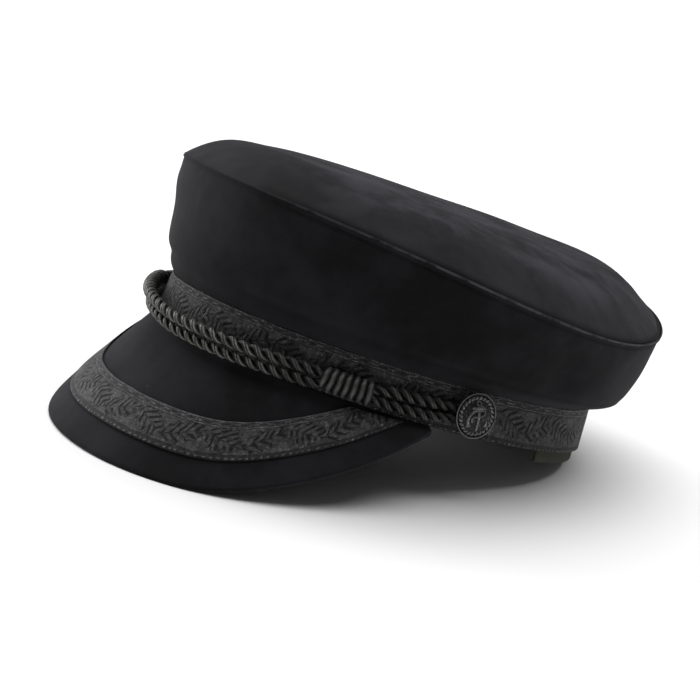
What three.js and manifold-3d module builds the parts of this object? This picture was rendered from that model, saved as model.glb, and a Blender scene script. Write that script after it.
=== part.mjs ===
// Captain hat: a soft-topped peaked cap with a braid head band, a steep visor, a twin cord and two buttons.
// Millimetres, +Z up, the front of the hat towards -Y and the wearer's left towards +X.
// The hat rests on its visor edge and on the back of its inner strip. The origin is the middle of its
// footprint on that surface.
//
// Every shape is worked out in the hat's own frame, where Z = 0 is the plane of the band's lower edge and
// an angle of 0 degrees is the middle of the front, 90 the wearer's left and 180 the back.

import * as THREE from "three";
import { mergeVertices } from "three/addons/utils/BufferGeometryUtils.js";
import Module from "manifold-3d";

const wasm = await Module();
wasm.setup();

// Driving dimensions, in millimetres and degrees.
const SEAT_GAP = 0.3;
const AROUND = 72;

// How far the hat leans back, how deep its resting edges are pressed flat, and a slab for the surface.
const REST = { tilt: 11.86, flatDepth: 0.6, slabSide: 400, slabDepth: 20 };

const BAND = { halfWidth: 83.5, halfLength: 101.7, frontTaper: 0.03, height: 18.8, leanIn: 1.4, wall: 1.8 };

const CROWN = { halfWidth: 101.6, halfLength: 113.0, setBack: 4.7, baseHeight: 61.0, wall: 1.5 };
const DOME = { height: 18.9, power: 5.3 };
const PUFF = { front: 3.0, back: 11.2, fullAt: 0.14 };

// The seam between the top panel and the side wall rises and falls: height * cos(turns * angle).
const SEAM_WAVES = [
  { turns: 1, height: 2.1 },
  { turns: 2, height: 5.7 },
  { turns: 3, height: -2.3 },
];

// Soft creases of the side wall: rise is the fraction of the wall's height, and lean turns the crease as it
// rises.
const SIDE_FOLDS = [
  { angle: 340, rise: 0.25, lean: 0, angleSpan: 16, riseSpan: 0.25, depth: 1.3 },
  { angle: 24, rise: 0.3, lean: 5, angleSpan: 8, riseSpan: 0.3, depth: -1.0 },
  { angle: 60, rise: 0.4, lean: 0, angleSpan: 14, riseSpan: 0.3, depth: -0.9 },
  { angle: 97, rise: 0.45, lean: -12, angleSpan: 4.5, riseSpan: 0.4, depth: -1.6 },
  { angle: 110, rise: 0.5, lean: -8, angleSpan: 9, riseSpan: 0.35, depth: 1.2 },
  { angle: 140, rise: 0.5, lean: 0, angleSpan: 15, riseSpan: 0.4, depth: 1.4 },
  { angle: 168, rise: 0.45, lean: 8, angleSpan: 6, riseSpan: 0.35, depth: -1.5 },
  { angle: 205, rise: 0.4, lean: -6, angleSpan: 7, riseSpan: 0.35, depth: -1.6 },
  { angle: 262, rise: 0.5, lean: 10, angleSpan: 5, riseSpan: 0.4, depth: -1.5 },
  { angle: 310, rise: 0.4, lean: 6, angleSpan: 9, riseSpan: 0.3, depth: -1.1 },
  { angle: 322, rise: 0.78, lean: 0, angleSpan: 18, riseSpan: 0.16, depth: 1.6 },
];

// Soft ridges and hollows of the top panel: heading is the way that the fold runs, 0 towards +X.
const TOP_FOLDS = [
  { x: -18, y: -92, heading: 8, length: 42, width: 15, depth: 3.4 },
  { x: 30, y: -50, heading: 62, length: 46, width: 15, depth: 1.2 },
  { x: 62, y: 10, heading: 78, length: 40, width: 9, depth: -1.4 },
  { x: 72, y: 46, heading: 22, length: 13, width: 5, depth: 1.3 },
  { x: 62, y: 66, heading: 38, length: 13, width: 5, depth: 1.0 },
  { x: 46, y: 84, heading: 55, length: 13, width: 6, depth: 1.0 },
  { x: -24, y: -5, heading: 95, length: 55, width: 24, depth: 1.6 },
  { x: 5, y: 70, heading: 160, length: 50, width: 22, depth: -1.6 },
  { x: -62, y: -25, heading: 70, length: 34, width: 13, depth: -1.2 },
  { x: -55, y: 60, heading: 130, length: 22, width: 9, depth: 1.2 },
  { x: -46, y: -88, heading: 30, length: 18, width: 11, depth: 3.0 },
];

// The visor slopes down by front degrees in its middle and flattens to side degrees at its two ends. Its edge
// is fuller by a shoulder on each side of the middle.
const VISOR = {
  reach: 60,
  power: 2.3,
  halfSpan: 74.7,
  builtSpan: 73,
  columns: 40,
  rootOut: 1.0,
  rootIn: 2.4,
  wall: 3.0,
  edgeTurn: 60,
};
const VISOR_DROP = { front: 59.7, side: 6, power: 5 };
const VISOR_SHOULDER = { angle: 30, span: 14, fullness: 2.5 };

// The ribbon's columns lie over the visor's own, so that it follows the visor all the way.
const RIBBON = { width: 17.8, thickness: 0.8, fromEdge: 13.2, fromRoot: 1.5, columns: 34 };

// The twin cord's route from button to button: the height and stand-off of the middle line between its two
// strands, half their spacing, how far the upper strand rolls out over the lower one, and their radius.
// Both strands are squeezed where a knot is wound round them and where a button holds them down.
const CORD_ROUTE = [
  { angle: -79.2, height: 8.4, standOff: 2.2, spread: 2.1, roll: 0, radius: 1.8 },
  { angle: -74.8, height: 8.2, standOff: 2.5, spread: 2.4, roll: 0, radius: 2.0 },
  { angle: -71, height: 8.7, standOff: 3.6, spread: 2.7, roll: 0, radius: 2.5 },
  { angle: -61, height: 9.5, standOff: 4.2, spread: 2.6, roll: 0, radius: 2.4 },
  { angle: -57, height: 9.8, standOff: 4.2, spread: 1.9, roll: 0, radius: 1.7 },
  { angle: -46, height: 10.2, standOff: 4.2, spread: 1.9, roll: 0, radius: 1.7 },
  { angle: -42, height: 10.0, standOff: 4.6, spread: 2.6, roll: 0.5, radius: 2.4 },
  { angle: -27, height: 8.0, standOff: 5.6, spread: 2.5, roll: 1.5, radius: 2.4 },
  { angle: -12, height: 5.8, standOff: 5.9, spread: 2.5, roll: 1.5, radius: 2.4 },
  { angle: 0, height: 4.1, standOff: 5.7, spread: 2.5, roll: 1.2, radius: 2.4 },
  { angle: 22, height: 4.1, standOff: 5.2, spread: 2.6, roll: 0.5, radius: 2.4 },
  { angle: 42, height: 5.4, standOff: 4.7, spread: 2.6, roll: 0, radius: 2.4 },
  { angle: 46, height: 5.8, standOff: 4.2, spread: 1.9, roll: 0, radius: 1.7 },
  { angle: 57, height: 6.5, standOff: 4.2, spread: 1.9, roll: 0, radius: 1.7 },
  { angle: 61, height: 6.7, standOff: 4.2, spread: 2.7, roll: 0, radius: 2.5 },
  { angle: 71, height: 7.3, standOff: 3.6, spread: 2.7, roll: 0, radius: 2.5 },
  { angle: 74.8, height: 7.8, standOff: 2.5, spread: 2.4, roll: 0, radius: 2.0 },
  { angle: 79.2, height: 8.4, standOff: 2.2, spread: 2.1, roll: 0, radius: 1.8 },
];
const CORD_SIDES = 8;
const CORD_STEPS = 72;

const KNOT = {
  angle: 51.5,
  halfSpan: 6.6,
  wraps: 7,
  halfHeight: 5.0,
  halfDepth: 3.6,
  groove: 0.45,
  lean: 0.5,
  sides: 14,
};

const BUTTON = {
  angle: 81.5,
  height: 9.4,
  radius: 9.3,
  underside: 4.9,
  backBevel: 0.7,
  rimHeight: 1.5,
  rimBevel: 0.5,
  rimWidth: 1.0,
  groove: 0.35,
  grooveWidth: 0.5,
  domeHeight: 1.9,
  shankRadius: 2.2,
  sides: 24,
};

const STRIP = { fromAngle: 109, toAngle: 251, hang: 5.2, top: 12, wall: 1.4 };

const degrees = THREE.MathUtils.degToRad;

// ---------------------------------------------------------------- meshes from rings of points

/** Joins rings of points into one closed body. With ends, each end ring is closed onto its end point. */
function skin(rings, ends = null) {
  const count = rings[0].length;
  const points = rings.flat();
  const faces = [];
  const bands = ends ? rings.length - 1 : rings.length;
  for (let row = 0; row < bands; row += 1) {
    const here = row * count;
    const next = ((row + 1) % rings.length) * count;
    for (let column = 0; column < count; column += 1) {
      const beside = (column + 1) % count;
      faces.push(here + column, here + beside, next + beside);
      faces.push(here + column, next + beside, next + column);
    }
  }
  if (ends) {
    const last = (rings.length - 1) * count;
    const startPoint = points.push(ends[0]) - 1;
    const endPoint = points.push(ends[1]) - 1;
    for (let column = 0; column < count; column += 1) {
      const beside = (column + 1) % count;
      faces.push(startPoint, beside, column);
      faces.push(endPoint, last + column, last + beside);
    }
  }
  return facingOut(points, faces);
}

/** A geometry of these points and triangles, turned so that its faces point outwards. */
function facingOut(points, faces) {
  let volume = 0;
  for (let i = 0; i < faces.length; i += 3) {
    const [a, b, c] = [points[faces[i]], points[faces[i + 1]], points[faces[i + 2]]];
    volume += a.dot(new THREE.Vector3().crossVectors(b, c));
  }
  const index = volume > 0 ? faces : faces.toReversed();
  const geometry = new THREE.BufferGeometry();
  geometry.setAttribute("position", new THREE.Float32BufferAttribute(points.flatMap((p) => p.toArray()), 3));
  geometry.setIndex(index);
  return geometry;
}

/** The middle of a ring of points. */
function middle(ring) {
  return ring.reduce((sum, point) => sum.add(point), new THREE.Vector3()).divideScalar(ring.length);
}

/** A body along a row of rings, closed flat at both ends. */
function bar(rings) {
  return skin(rings, [middle(rings[0]), middle(rings[rings.length - 1])]);
}

/** Evenly spaced values from one number to another, both included. */
function spaced(from, to, steps) {
  return Array.from({ length: steps + 1 }, (_, i) => from + ((to - from) * i) / steps);
}

/** The angles of the columns that go all the way round the hat. */
const allRound = spaced(0, 360, AROUND).slice(0, AROUND);

// ---------------------------------------------------------------- cutting

/** A manifold solid of a geometry. */
function solidOf(geometry) {
  const bare = geometry.clone();
  bare.deleteAttribute("normal");
  bare.deleteAttribute("uv");
  const merged = mergeVertices(bare);
  return new wasm.Manifold(
    new wasm.Mesh({
      numProp: 3,
      vertProperties: new Float32Array(merged.attributes.position.array),
      triVerts: new Uint32Array(merged.index.array),
    }),
  );
}

/** A geometry less another, both in the same frame. */
function cut(geometry, tool) {
  const mesh = solidOf(geometry).subtract(solidOf(tool)).getMesh();
  const result = new THREE.BufferGeometry();
  result.setAttribute("position", new THREE.BufferAttribute(mesh.vertProperties, 3));
  result.setIndex(new THREE.BufferAttribute(mesh.triVerts, 1));
  return result;
}

// ---------------------------------------------------------------- the head oval and the band

/** A point on the band's face: out from it by a distance, at a height over its lower edge. */
function bandPoint(angle, out, height) {
  const turn = degrees(angle);
  const lean = (-BAND.leanIn * height) / BAND.height;
  const halfWidth = (BAND.halfWidth + lean + out) * (1 - BAND.frontTaper * Math.cos(turn));
  const halfLength = BAND.halfLength + lean + out;
  return new THREE.Vector3(halfWidth * Math.sin(turn), -halfLength * Math.cos(turn), height);
}

/** The level direction straight out of the band at an angle. */
function bandOutward(angle) {
  const along = bandPoint(angle + 0.05, 0, 0).sub(bandPoint(angle - 0.05, 0, 0));
  return new THREE.Vector3(along.y, -along.x, 0).normalize();
}

/** The head band, a wall of even thickness all the way round. */
function headBand() {
  const section = [
    { out: 0, height: 0 },
    { out: 0, height: BAND.height },
    { out: -BAND.wall, height: BAND.height },
    { out: -BAND.wall, height: 0 },
  ];
  return skin(section.map((corner) => allRound.map((angle) => bandPoint(angle, corner.out, corner.height))));
}

/** The strip sewn inside the back of the band, which hangs a little below it. */
function rearStrip() {
  const outerFace = -BAND.wall - SEAT_GAP;
  const section = [
    { out: outerFace, height: -STRIP.hang },
    { out: outerFace, height: STRIP.top },
    { out: outerFace - STRIP.wall, height: STRIP.top },
    { out: outerFace - STRIP.wall, height: -STRIP.hang },
  ];
  const angles = spaced(STRIP.fromAngle, STRIP.toAngle, 30);
  return bar(angles.map((angle) => section.map((corner) => bandPoint(angle, corner.out, corner.height))));
}

// ---------------------------------------------------------------- the crown

/** A point on the seam between the top panel and the side wall. */
function seamPoint(angle) {
  const turn = degrees(angle);
  const wave = SEAM_WAVES.reduce((sum, row) => sum + row.height * Math.cos(row.turns * turn), 0);
  return new THREE.Vector3(
    CROWN.halfWidth * Math.sin(turn),
    CROWN.setBack - CROWN.halfLength * Math.cos(turn),
    CROWN.baseHeight + wave,
  );
}

/** A bell curve, 1 at 0 and small beyond 2. */
function bell(value) {
  return Math.exp(-value * value);
}

/** How far the side wall's creases push it out at an angle and a fraction of its height. */
function sideFold(angle, rise) {
  const push = SIDE_FOLDS.reduce((sum, fold) => {
    const middleAngle = fold.angle + fold.lean * (rise - fold.rise);
    const aside = ((((angle - middleAngle + 180) % 360) + 360) % 360) - 180;
    return sum + fold.depth * bell(aside / fold.angleSpan) * bell((rise - fold.rise) / fold.riseSpan);
  }, 0);
  return push * Math.sin(Math.PI * Math.min(Math.max(rise, 0), 1));
}

/** A point on the side wall's outer face: rise is 0 at the band and 1 at the seam. */
function sidePoint(angle, rise) {
  const foot = bandPoint(angle, 0, BAND.height + SEAT_GAP);
  const backShare = (1 - Math.cos(degrees(angle))) / 2;
  const fullness = PUFF.front + (PUFF.back - PUFF.front) * backShare;
  const swell = Math.sin((Math.PI / 2) * Math.min(rise / PUFF.fullAt, 1)) * (1 - rise);
  const push = fullness * swell + sideFold(angle, rise);
  return foot.lerp(seamPoint(angle), rise).addScaledVector(bandOutward(angle), push);
}

/** How far the top panel's folds lift it at a place. */
function topFold(x, y, spread) {
  const lift = TOP_FOLDS.reduce((sum, fold) => {
    const heading = degrees(fold.heading);
    const along = (x - fold.x) * Math.cos(heading) + (y - fold.y) * Math.sin(heading);
    const across = (y - fold.y) * Math.cos(heading) - (x - fold.x) * Math.sin(heading);
    return sum + fold.depth * bell(along / fold.length) * bell(across / fold.width);
  }, 0);
  return lift * (1 - spread ** 6);
}

/** A point on the top panel's outer face: spread is 0 in its middle and 1 at the seam. */
function topPoint(angle, spread) {
  const seam = seamPoint(angle);
  const x = seam.x * spread;
  const y = CROWN.setBack + (seam.y - CROWN.setBack) * spread;
  const height = CROWN.baseHeight + (seam.z - CROWN.baseHeight) * spread ** 2;
  const dome = DOME.height * (1 - spread ** DOME.power);
  return new THREE.Vector3(x, y, height + dome + topFold(x, y, spread));
}

/** The direction straight out of a surface of (angle, step), with the step kept between 0 and 1. */
function outwardOf(surface, angle, step) {
  const around = surface(angle + 0.2, step).sub(surface(angle - 0.2, step));
  const up = surface(angle, Math.min(step + 0.004, 1)).sub(surface(angle, Math.max(step - 0.004, 0)));
  return around.cross(up).normalize();
}

/** The corner of the seam at an angle: its way out, its way inwards and the way from the side to the top. */
function seamCorner(angle) {
  const side = outwardOf(sidePoint, angle, 1);
  const top = outwardOf(topPoint, angle, 1).negate();
  const out = side.clone().add(top).normalize();
  return {
    inward: out.clone().multiplyScalar(-CROWN.wall / out.dot(side)),
    toTop: top.sub(side).normalize(),
  };
}

/** A crown panel: a wall whose seam edge is cut on the mitre of the two panels. */
function panelRings(surface, steps, facing, gapShare) {
  const outer = [];
  const inner = [];
  for (const step of steps) {
    const outerRing = [];
    const innerRing = [];
    for (const angle of allRound) {
      const point = surface(angle, step);
      const corner = seamCorner(angle);
      const atSeam = step === 1;
      const square = outwardOf(surface, angle, step).multiplyScalar(-facing * CROWN.wall);
      const inward = atSeam ? corner.inward : square;
      point.addScaledVector(corner.toTop, atSeam ? gapShare * SEAT_GAP : 0);
      outerRing.push(point);
      innerRing.push(point.clone().add(inward));
    }
    outer.push(outerRing);
    inner.push(innerRing);
  }
  return { outer, inner };
}

/** The tall side wall, puffed out over the band and open at both ends. */
function crownSide() {
  const rises = [0, 0.03, 0.065, 0.11, 0.2, 0.35, 0.52, 0.7, 0.86, 1];
  const { outer, inner } = panelRings(sidePoint, rises, 1, -0.5);
  return skin([...outer, ...inner.toReversed()]);
}

/** The oval top panel, domed like a slack pillow. */
function crownTop() {
  const spreads = [0.16, 0.32, 0.47, 0.6, 0.72, 0.82, 0.9, 0.96, 1];
  const { outer, inner } = panelRings(topPoint, spreads, -1, 0.5);
  const peak = topPoint(0, 0);
  return skin([...outer, ...inner.toReversed()], [peak, peak.clone().setZ(peak.z - CROWN.wall)]);
}

// ---------------------------------------------------------------- the visor and its ribbon

/** The visor at an angle: its length from the band to its edge, and the way that it slopes and faces. */
function visorSlope(angle) {
  const share = Math.abs(angle) / VISOR.halfSpan;
  const aside = (Math.abs(angle) - VISOR_SHOULDER.angle) / VISOR_SHOULDER.span;
  const shoulder = VISOR_SHOULDER.fullness * bell(aside) * (1 - share ** 4);
  const drop = degrees(VISOR_DROP.front + (VISOR_DROP.side - VISOR_DROP.front) * share ** VISOR_DROP.power);
  const out = bandOutward(angle);
  const up = new THREE.Vector3(0, 0, 1);
  return {
    reach: VISOR.reach * (1 - share ** VISOR.power) + shoulder,
    drop,
    down: out.clone().multiplyScalar(Math.cos(drop)).addScaledVector(up, -Math.sin(drop)),
    face: out.clone().multiplyScalar(Math.sin(drop)).addScaledVector(up, Math.cos(drop)),
  };
}

/** A point over the visor's upper face, at a distance down from the band and a height off the face. */
function visorPoint(angle, distance, lift) {
  const slope = visorSlope(angle);
  return bandPoint(angle, VISOR.rootOut, -SEAT_GAP)
    .addScaledVector(slope.down, distance)
    .addScaledVector(slope.face, lift);
}

/** The visor: an even wall with a round edge and a level root just under the band's lower edge. */
function visor() {
  const half = VISOR.wall / 2;
  const sections = spaced(-VISOR.builtSpan, VISOR.builtSpan, VISOR.columns).map((angle) => {
    const { reach, drop } = visorSlope(angle);
    const straight = reach - half;
    const upper = spaced(0, straight, 4).map((distance) => visorPoint(angle, distance, 0));
    const edge = [VISOR.edgeTurn, VISOR.edgeTurn / 2, 0, -VISOR.edgeTurn].map((turn) => {
      const out = half * Math.cos(degrees(turn));
      return visorPoint(angle, straight + out, half * Math.sin(degrees(turn)) - half);
    });
    const rootEnd = (VISOR.wall * Math.sin(drop) - VISOR.rootOut - VISOR.rootIn) / Math.cos(drop);
    const lower = spaced(straight, rootEnd, 4).map((distance) => visorPoint(angle, distance, -VISOR.wall));
    return [...upper, ...edge, ...lower, bandPoint(angle, -VISOR.rootIn, -SEAT_GAP)];
  });
  return bar(sections);
}

/** The flat ribbon sewn along the visor, a constant distance in from its edge. */
function visorRibbon() {
  const halfSpan = (VISOR.builtSpan * RIBBON.columns) / VISOR.columns;
  const sections = spaced(-halfSpan, halfSpan, RIBBON.columns).map((angle) => {
    const outerEdge = visorSlope(angle).reach - RIBBON.fromEdge;
    const innerEdge = Math.max(outerEdge - RIBBON.width, RIBBON.fromRoot);
    const across = spaced(innerEdge, outerEdge, 3);
    const under = across.map((distance) => visorPoint(angle, distance, SEAT_GAP));
    const over = across.map((distance) => visorPoint(angle, distance, SEAT_GAP + RIBBON.thickness));
    return [...under, ...over.toReversed()];
  });
  return bar(sections);
}

// ---------------------------------------------------------------- the twin cord and its knots

const routeLine = new THREE.SplineCurve(CORD_ROUTE.map((row) => new THREE.Vector2(row.height, row.standOff)));

/** The cord route's values at an angle, smoothly between the rows of its table. */
function routeAt(angle) {
  const row = Math.max(CORD_ROUTE.findIndex((each) => each.angle >= angle), 1) - 1;
  const [from, to] = [CORD_ROUTE[row], CORD_ROUTE[row + 1]];
  const share = (angle - from.angle) / (to.angle - from.angle);
  const line = routeLine.getPoint((row + share) / (CORD_ROUTE.length - 1));
  const eased = THREE.MathUtils.smoothstep(share, 0, 1);
  const between = (column) => THREE.MathUtils.lerp(from[column], to[column], eased);
  return {
    height: line.x,
    standOff: line.y,
    spread: between("spread"),
    roll: between("roll"),
    radius: between("radius"),
  };
}

/** A round strand: side is 1 for the upper one and -1 for the lower one. */
function cordStrand(side, extraRadius = 0) {
  const end = CORD_ROUTE.at(-1).angle;
  const turns = spaced(0, 360, CORD_SIDES).slice(0, CORD_SIDES).map(degrees);
  const rings = spaced(-end, end, CORD_STEPS).map((angle) => {
    const route = routeAt(angle);
    const radius = route.radius + extraRadius;
    const out = route.standOff + side * route.roll;
    const centre = bandPoint(angle, out, route.height + side * route.spread);
    return turns.map((turn) =>
      centre
        .clone()
        .addScaledVector(bandOutward(angle), radius * Math.cos(turn))
        .add(new THREE.Vector3(0, 0, radius * Math.sin(turn))),
    );
  });
  return bar(rings);
}

/** A whipping knot: turns of cord wound side by side around both strands, which pass through it. */
function cordKnot(side) {
  const turns = spaced(0, 360, KNOT.sides).slice(0, KNOT.sides).map(degrees);
  const rings = spaced(-1, 1, KNOT.wraps * 2).map((place, step) => {
    const thinning = step % 2 === 0 ? KNOT.groove : 0;
    return turns.map((turn) => {
      const angle = side * (KNOT.angle + KNOT.halfSpan * place + KNOT.lean * Math.sin(turn));
      const route = routeAt(side * KNOT.angle);
      const out = route.standOff + (KNOT.halfDepth - thinning) * Math.cos(turn);
      return bandPoint(angle, out, route.height + (KNOT.halfHeight - thinning) * Math.sin(turn));
    });
  });
  return [1, -1].reduce((knot, strand) => cut(knot, cordStrand(strand, SEAT_GAP)), bar(rings));
}

// ---------------------------------------------------------------- the buttons

/** A domed metal button with a raised rim, a groove inside it and a round shank behind, along +Y. */
function button() {
  const rimTop = BUTTON.underside + BUTTON.rimHeight;
  const grooveRadius = BUTTON.radius - BUTTON.rimWidth;
  const dome = spaced(0, 1, 4).map((share) => {
    const radius = (grooveRadius - BUTTON.grooveWidth) * (1 - share);
    return new THREE.Vector2(radius, rimTop + BUTTON.domeHeight * (1 - (1 - share) ** 2));
  });
  const profile = [
    new THREE.Vector2(0, SEAT_GAP),
    new THREE.Vector2(BUTTON.shankRadius, SEAT_GAP),
    new THREE.Vector2(BUTTON.shankRadius, BUTTON.underside),
    new THREE.Vector2(BUTTON.radius - BUTTON.backBevel, BUTTON.underside),
    new THREE.Vector2(BUTTON.radius, BUTTON.underside + BUTTON.backBevel),
    new THREE.Vector2(BUTTON.radius, rimTop - BUTTON.rimBevel),
    new THREE.Vector2(BUTTON.radius - BUTTON.rimBevel, rimTop),
    new THREE.Vector2(grooveRadius, rimTop - BUTTON.groove),
    ...dome,
  ];
  const lathe = mergeVertices(bareOf(new THREE.LatheGeometry(profile, BUTTON.sides)));
  const position = lathe.attributes.position;
  const points = spaced(0, position.count - 1, position.count - 1).map((i) =>
    new THREE.Vector3().fromBufferAttribute(position, i),
  );
  return facingOut(points, wholeFaces(Array.from(lathe.index.array)));
}

/** A geometry without normals and texture places, so that its shared points can be merged. */
function bareOf(geometry) {
  geometry.deleteAttribute("normal");
  geometry.deleteAttribute("uv");
  return geometry;
}

/** The triangles that have three different corners. */
function wholeFaces(faces) {
  const kept = [];
  for (let i = 0; i < faces.length; i += 3) {
    const [a, b, c] = faces.slice(i, i + 3);
    if (a !== b && b !== c && c !== a) kept.push(a, b, c);
  }
  return kept;
}

// ---------------------------------------------------------------- the assembly

const COLOURS = {
  cloth: { color: 0x17171a, roughness: 0.9, metalness: 0 },
  braid: { color: 0x1f1f20, roughness: 0.65, metalness: 0 },
  cord: { color: 0x1c201d, roughness: 0.45, metalness: 0 },
  metal: { color: 0x3a3a3c, roughness: 0.4, metalness: 0.9 },
  webbing: { color: 0x5e6152, roughness: 0.85, metalness: 0 },
};

/** A named sub-part with a material of its own. */
function piece(name, geometry, finish) {
  const mesh = new THREE.Mesh(geometry, new THREE.MeshStandardMaterial(COLOURS[finish]));
  mesh.name = name;
  return mesh;
}

/** A button sewn to one side of the band, its face square to the leaning band. */
function placedButton(name, side) {
  const mesh = piece(name, button(), "metal");
  const angle = side * BUTTON.angle;
  const lean = BAND.leanIn / BAND.height;
  const facing = bandOutward(angle).add(new THREE.Vector3(0, 0, lean)).normalize();
  mesh.position.copy(bandPoint(angle, 0, BUTTON.height));
  mesh.quaternion.setFromUnitVectors(new THREE.Vector3(0, 1, 0), facing);
  return mesh;
}

const visorPiece = piece("visor", visor(), "cloth");
const stripPiece = piece("rear_strip", rearStrip(), "webbing");

const hat = new THREE.Group();
hat.add(
  piece("crown_top", crownTop(), "cloth"),
  piece("crown_side", crownSide(), "cloth"),
  piece("head_band", headBand(), "braid"),
  visorPiece,
  piece("visor_ribbon", visorRibbon(), "braid"),
  piece("cord_upper", cordStrand(1), "cord"),
  piece("cord_lower", cordStrand(-1), "cord"),
  piece("cord_knot_left", cordKnot(1), "cord"),
  piece("cord_knot_right", cordKnot(-1), "cord"),
  placedButton("button_left", 1),
  placedButton("button_right", -1),
  stripPiece,
);

// The hat leans back until its visor edge and its rear strip both meet the surface, and is centred there.
hat.rotation.x = -degrees(REST.tilt);
hat.updateMatrixWorld(true);
const stance = new THREE.Box3().setFromObject(hat, true);
const centre = stance.getCenter(new THREE.Vector3());
hat.position.set(-centre.x, -centre.y, -stance.min.z - REST.flatDepth);
hat.updateMatrixWorld(true);

// What would sink into the surface is pressed flat there.
const slab = new THREE.BoxGeometry(REST.slabSide, REST.slabSide, REST.slabDepth);
const surface = slab.translate(0, 0, -REST.slabDepth / 2).applyMatrix4(hat.matrixWorld.clone().invert());
for (const resting of [visorPiece, stripPiece]) {
  resting.geometry = cut(resting.geometry, surface);
}

export default hat;
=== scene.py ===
"""Captain hat: its cloth, braid, cord and buttons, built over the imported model.

Blender works in metres with +Z up and the front of the hat towards -Y. Sizes in this file are millimetres
and degrees, in the hat's own frame: Z = 0 is the plane of the band's lower edge, and an angle of 0 degrees
is the middle of the front, 90 the wearer's left and 180 the back. Stance turns them into the place where
the hat rests. A surface method takes two rows of numbers from 0 to 1, its first and second way over a piece.
"""

import logging
import math
from dataclasses import dataclass
from enum import Enum
from typing import Any, Callable, NamedTuple, Union

import bpy
import numpy as np
from mathutils import Matrix, Vector


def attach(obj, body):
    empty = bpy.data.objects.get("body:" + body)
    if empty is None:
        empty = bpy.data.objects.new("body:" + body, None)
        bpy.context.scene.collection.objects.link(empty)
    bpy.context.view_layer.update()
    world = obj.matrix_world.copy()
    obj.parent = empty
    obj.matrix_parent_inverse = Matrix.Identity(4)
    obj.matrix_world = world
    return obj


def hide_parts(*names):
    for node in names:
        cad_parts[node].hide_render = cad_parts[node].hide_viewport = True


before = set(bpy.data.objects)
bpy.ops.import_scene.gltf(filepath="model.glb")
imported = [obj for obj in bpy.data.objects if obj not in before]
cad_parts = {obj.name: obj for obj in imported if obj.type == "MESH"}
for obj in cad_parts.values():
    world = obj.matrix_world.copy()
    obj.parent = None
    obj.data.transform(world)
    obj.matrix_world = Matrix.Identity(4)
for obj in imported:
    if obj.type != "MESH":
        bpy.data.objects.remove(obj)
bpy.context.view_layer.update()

LOG = logging.getLogger("captain_hat")
BODY = "root"
METRES = 0.001
RUN_MAP = "run"
MERGE_WITHIN = 1e-6
ALL_SMOOTH = 180.0

Array = np.ndarray
Body = bpy.types.Object
Material = bpy.types.Material
Pair = tuple[float, float]
Triple = tuple[float, float, float]
Colour = Triple
Skin = tuple[Array, Array]
Surface = Callable[[Array, Array], Skin]
Stand = Callable[[Array], Array]


class Slot(Enum):
    """The record's material slots."""

    CLOTH = "cloth"
    BRAID = "braid"
    CORD = "cord"
    METAL = "button_metal"
    WEBBING = "webbing"


class Side(Enum):
    """The side of the hat that a paired piece is on, as the wearer sees it."""

    LEFT = 1
    RIGHT = -1


# ---------------------------------------------------------------- small sums on rows of numbers


def bell(value: Array) -> Array:
    """A bell curve, 1 at 0 and small beyond 2."""
    return np.exp(-value * value)


def held(value: Array) -> Array:
    """The value kept between 0 and 1."""
    return np.clip(value, 0, 1)


def smooth(value: Array) -> Array:
    """Eases from 0 to 1 as the value goes from 0 to 1, and stays flat outside."""
    share = held(value)
    return share * share * (3 - 2 * share)


def grown(least: float, share: Array) -> Array:
    """Grows from its least at a share of 0 to 1 at a share of 1."""
    return least + (1 - least) * share


def aside(angle: Array, middle: float) -> Array:
    """How far an angle is to one side of a middle one, from -180 to 180."""
    return (angle - middle + 180) % 360 - 180


def uneven(angle: Array, fine: int, coarse: int, shift: float) -> Array:
    """A wave round the hat that comes and goes: fine waves in coarse ones, which start at a shift."""
    return np.sin(np.radians(angle * fine)) * np.sin(np.radians(angle * coarse + shift))


def unit(vectors: Array) -> Array:
    """The same directions, each 1 long."""
    return vectors / np.maximum(np.linalg.norm(vectors, axis=-1, keepdims=True), 1e-12)


def columns(*values: Any) -> Array:
    """Stacks numbers or arrays as the last axis of one array."""
    return np.stack(np.broadcast_arrays(*values), axis=-1).astype(float)


def lengths(points: Array) -> Array:
    """The length of a path up to each of its points."""
    return np.concatenate([[0], np.cumsum(np.linalg.norm(np.diff(points, axis=0), axis=1))])


def wall_section(share: Array, outer: float, inner: float, low: float, high: float) -> Skin:
    """Goes round the section of an upright wall: up its outer face, over, down its inner face and under.

    Args:
        share: the share of the way round, from 0 to 1.
        outer: the place of the outer face, counted outwards.
        inner: the place of the inner face.
        low: the height of the lower edge.
        high: the height of the upper edge.

    Returns:
        How far out and how high each place is.
    """
    corners = [0.0, 0.44, 0.5, 0.94, 1.0]
    out = np.interp(share, corners, [outer, outer, inner, inner, outer])
    return out, np.interp(share, corners, [low, high, high, low, low])


# ---------------------------------------------------------------- the hat's shape


@dataclass(frozen=True)
class Stance:
    """How the hat rests: it leans back on its visor edge and on the strip inside the back of its band."""

    tilt: float = 11.86
    forward: float = 5.6319
    lift: float = 25.0825

    def matrix(self) -> Matrix:
        """The turn and shift from the hat's frame in millimetres to the room in metres."""
        turn = Matrix.Rotation(math.radians(-self.tilt), 4, "X")
        return Matrix.Scale(METRES, 4) @ Matrix.Translation((0, self.forward, self.lift)) @ turn

    def stand(self, points: Array) -> Array:
        """Points of the hat's frame as points of the room, none of them under the floor.

        Args:
            points: rows of x, y and z in millimetres.

        Returns:
            The same rows in metres, with what would sink into the floor pressed flat on it.
        """
        matrix = np.array(self.matrix())
        placed = points @ matrix[:3, :3].T + matrix[:3, 3]
        placed[:, 2] = np.maximum(placed[:, 2], 0.0)
        return placed


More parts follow.
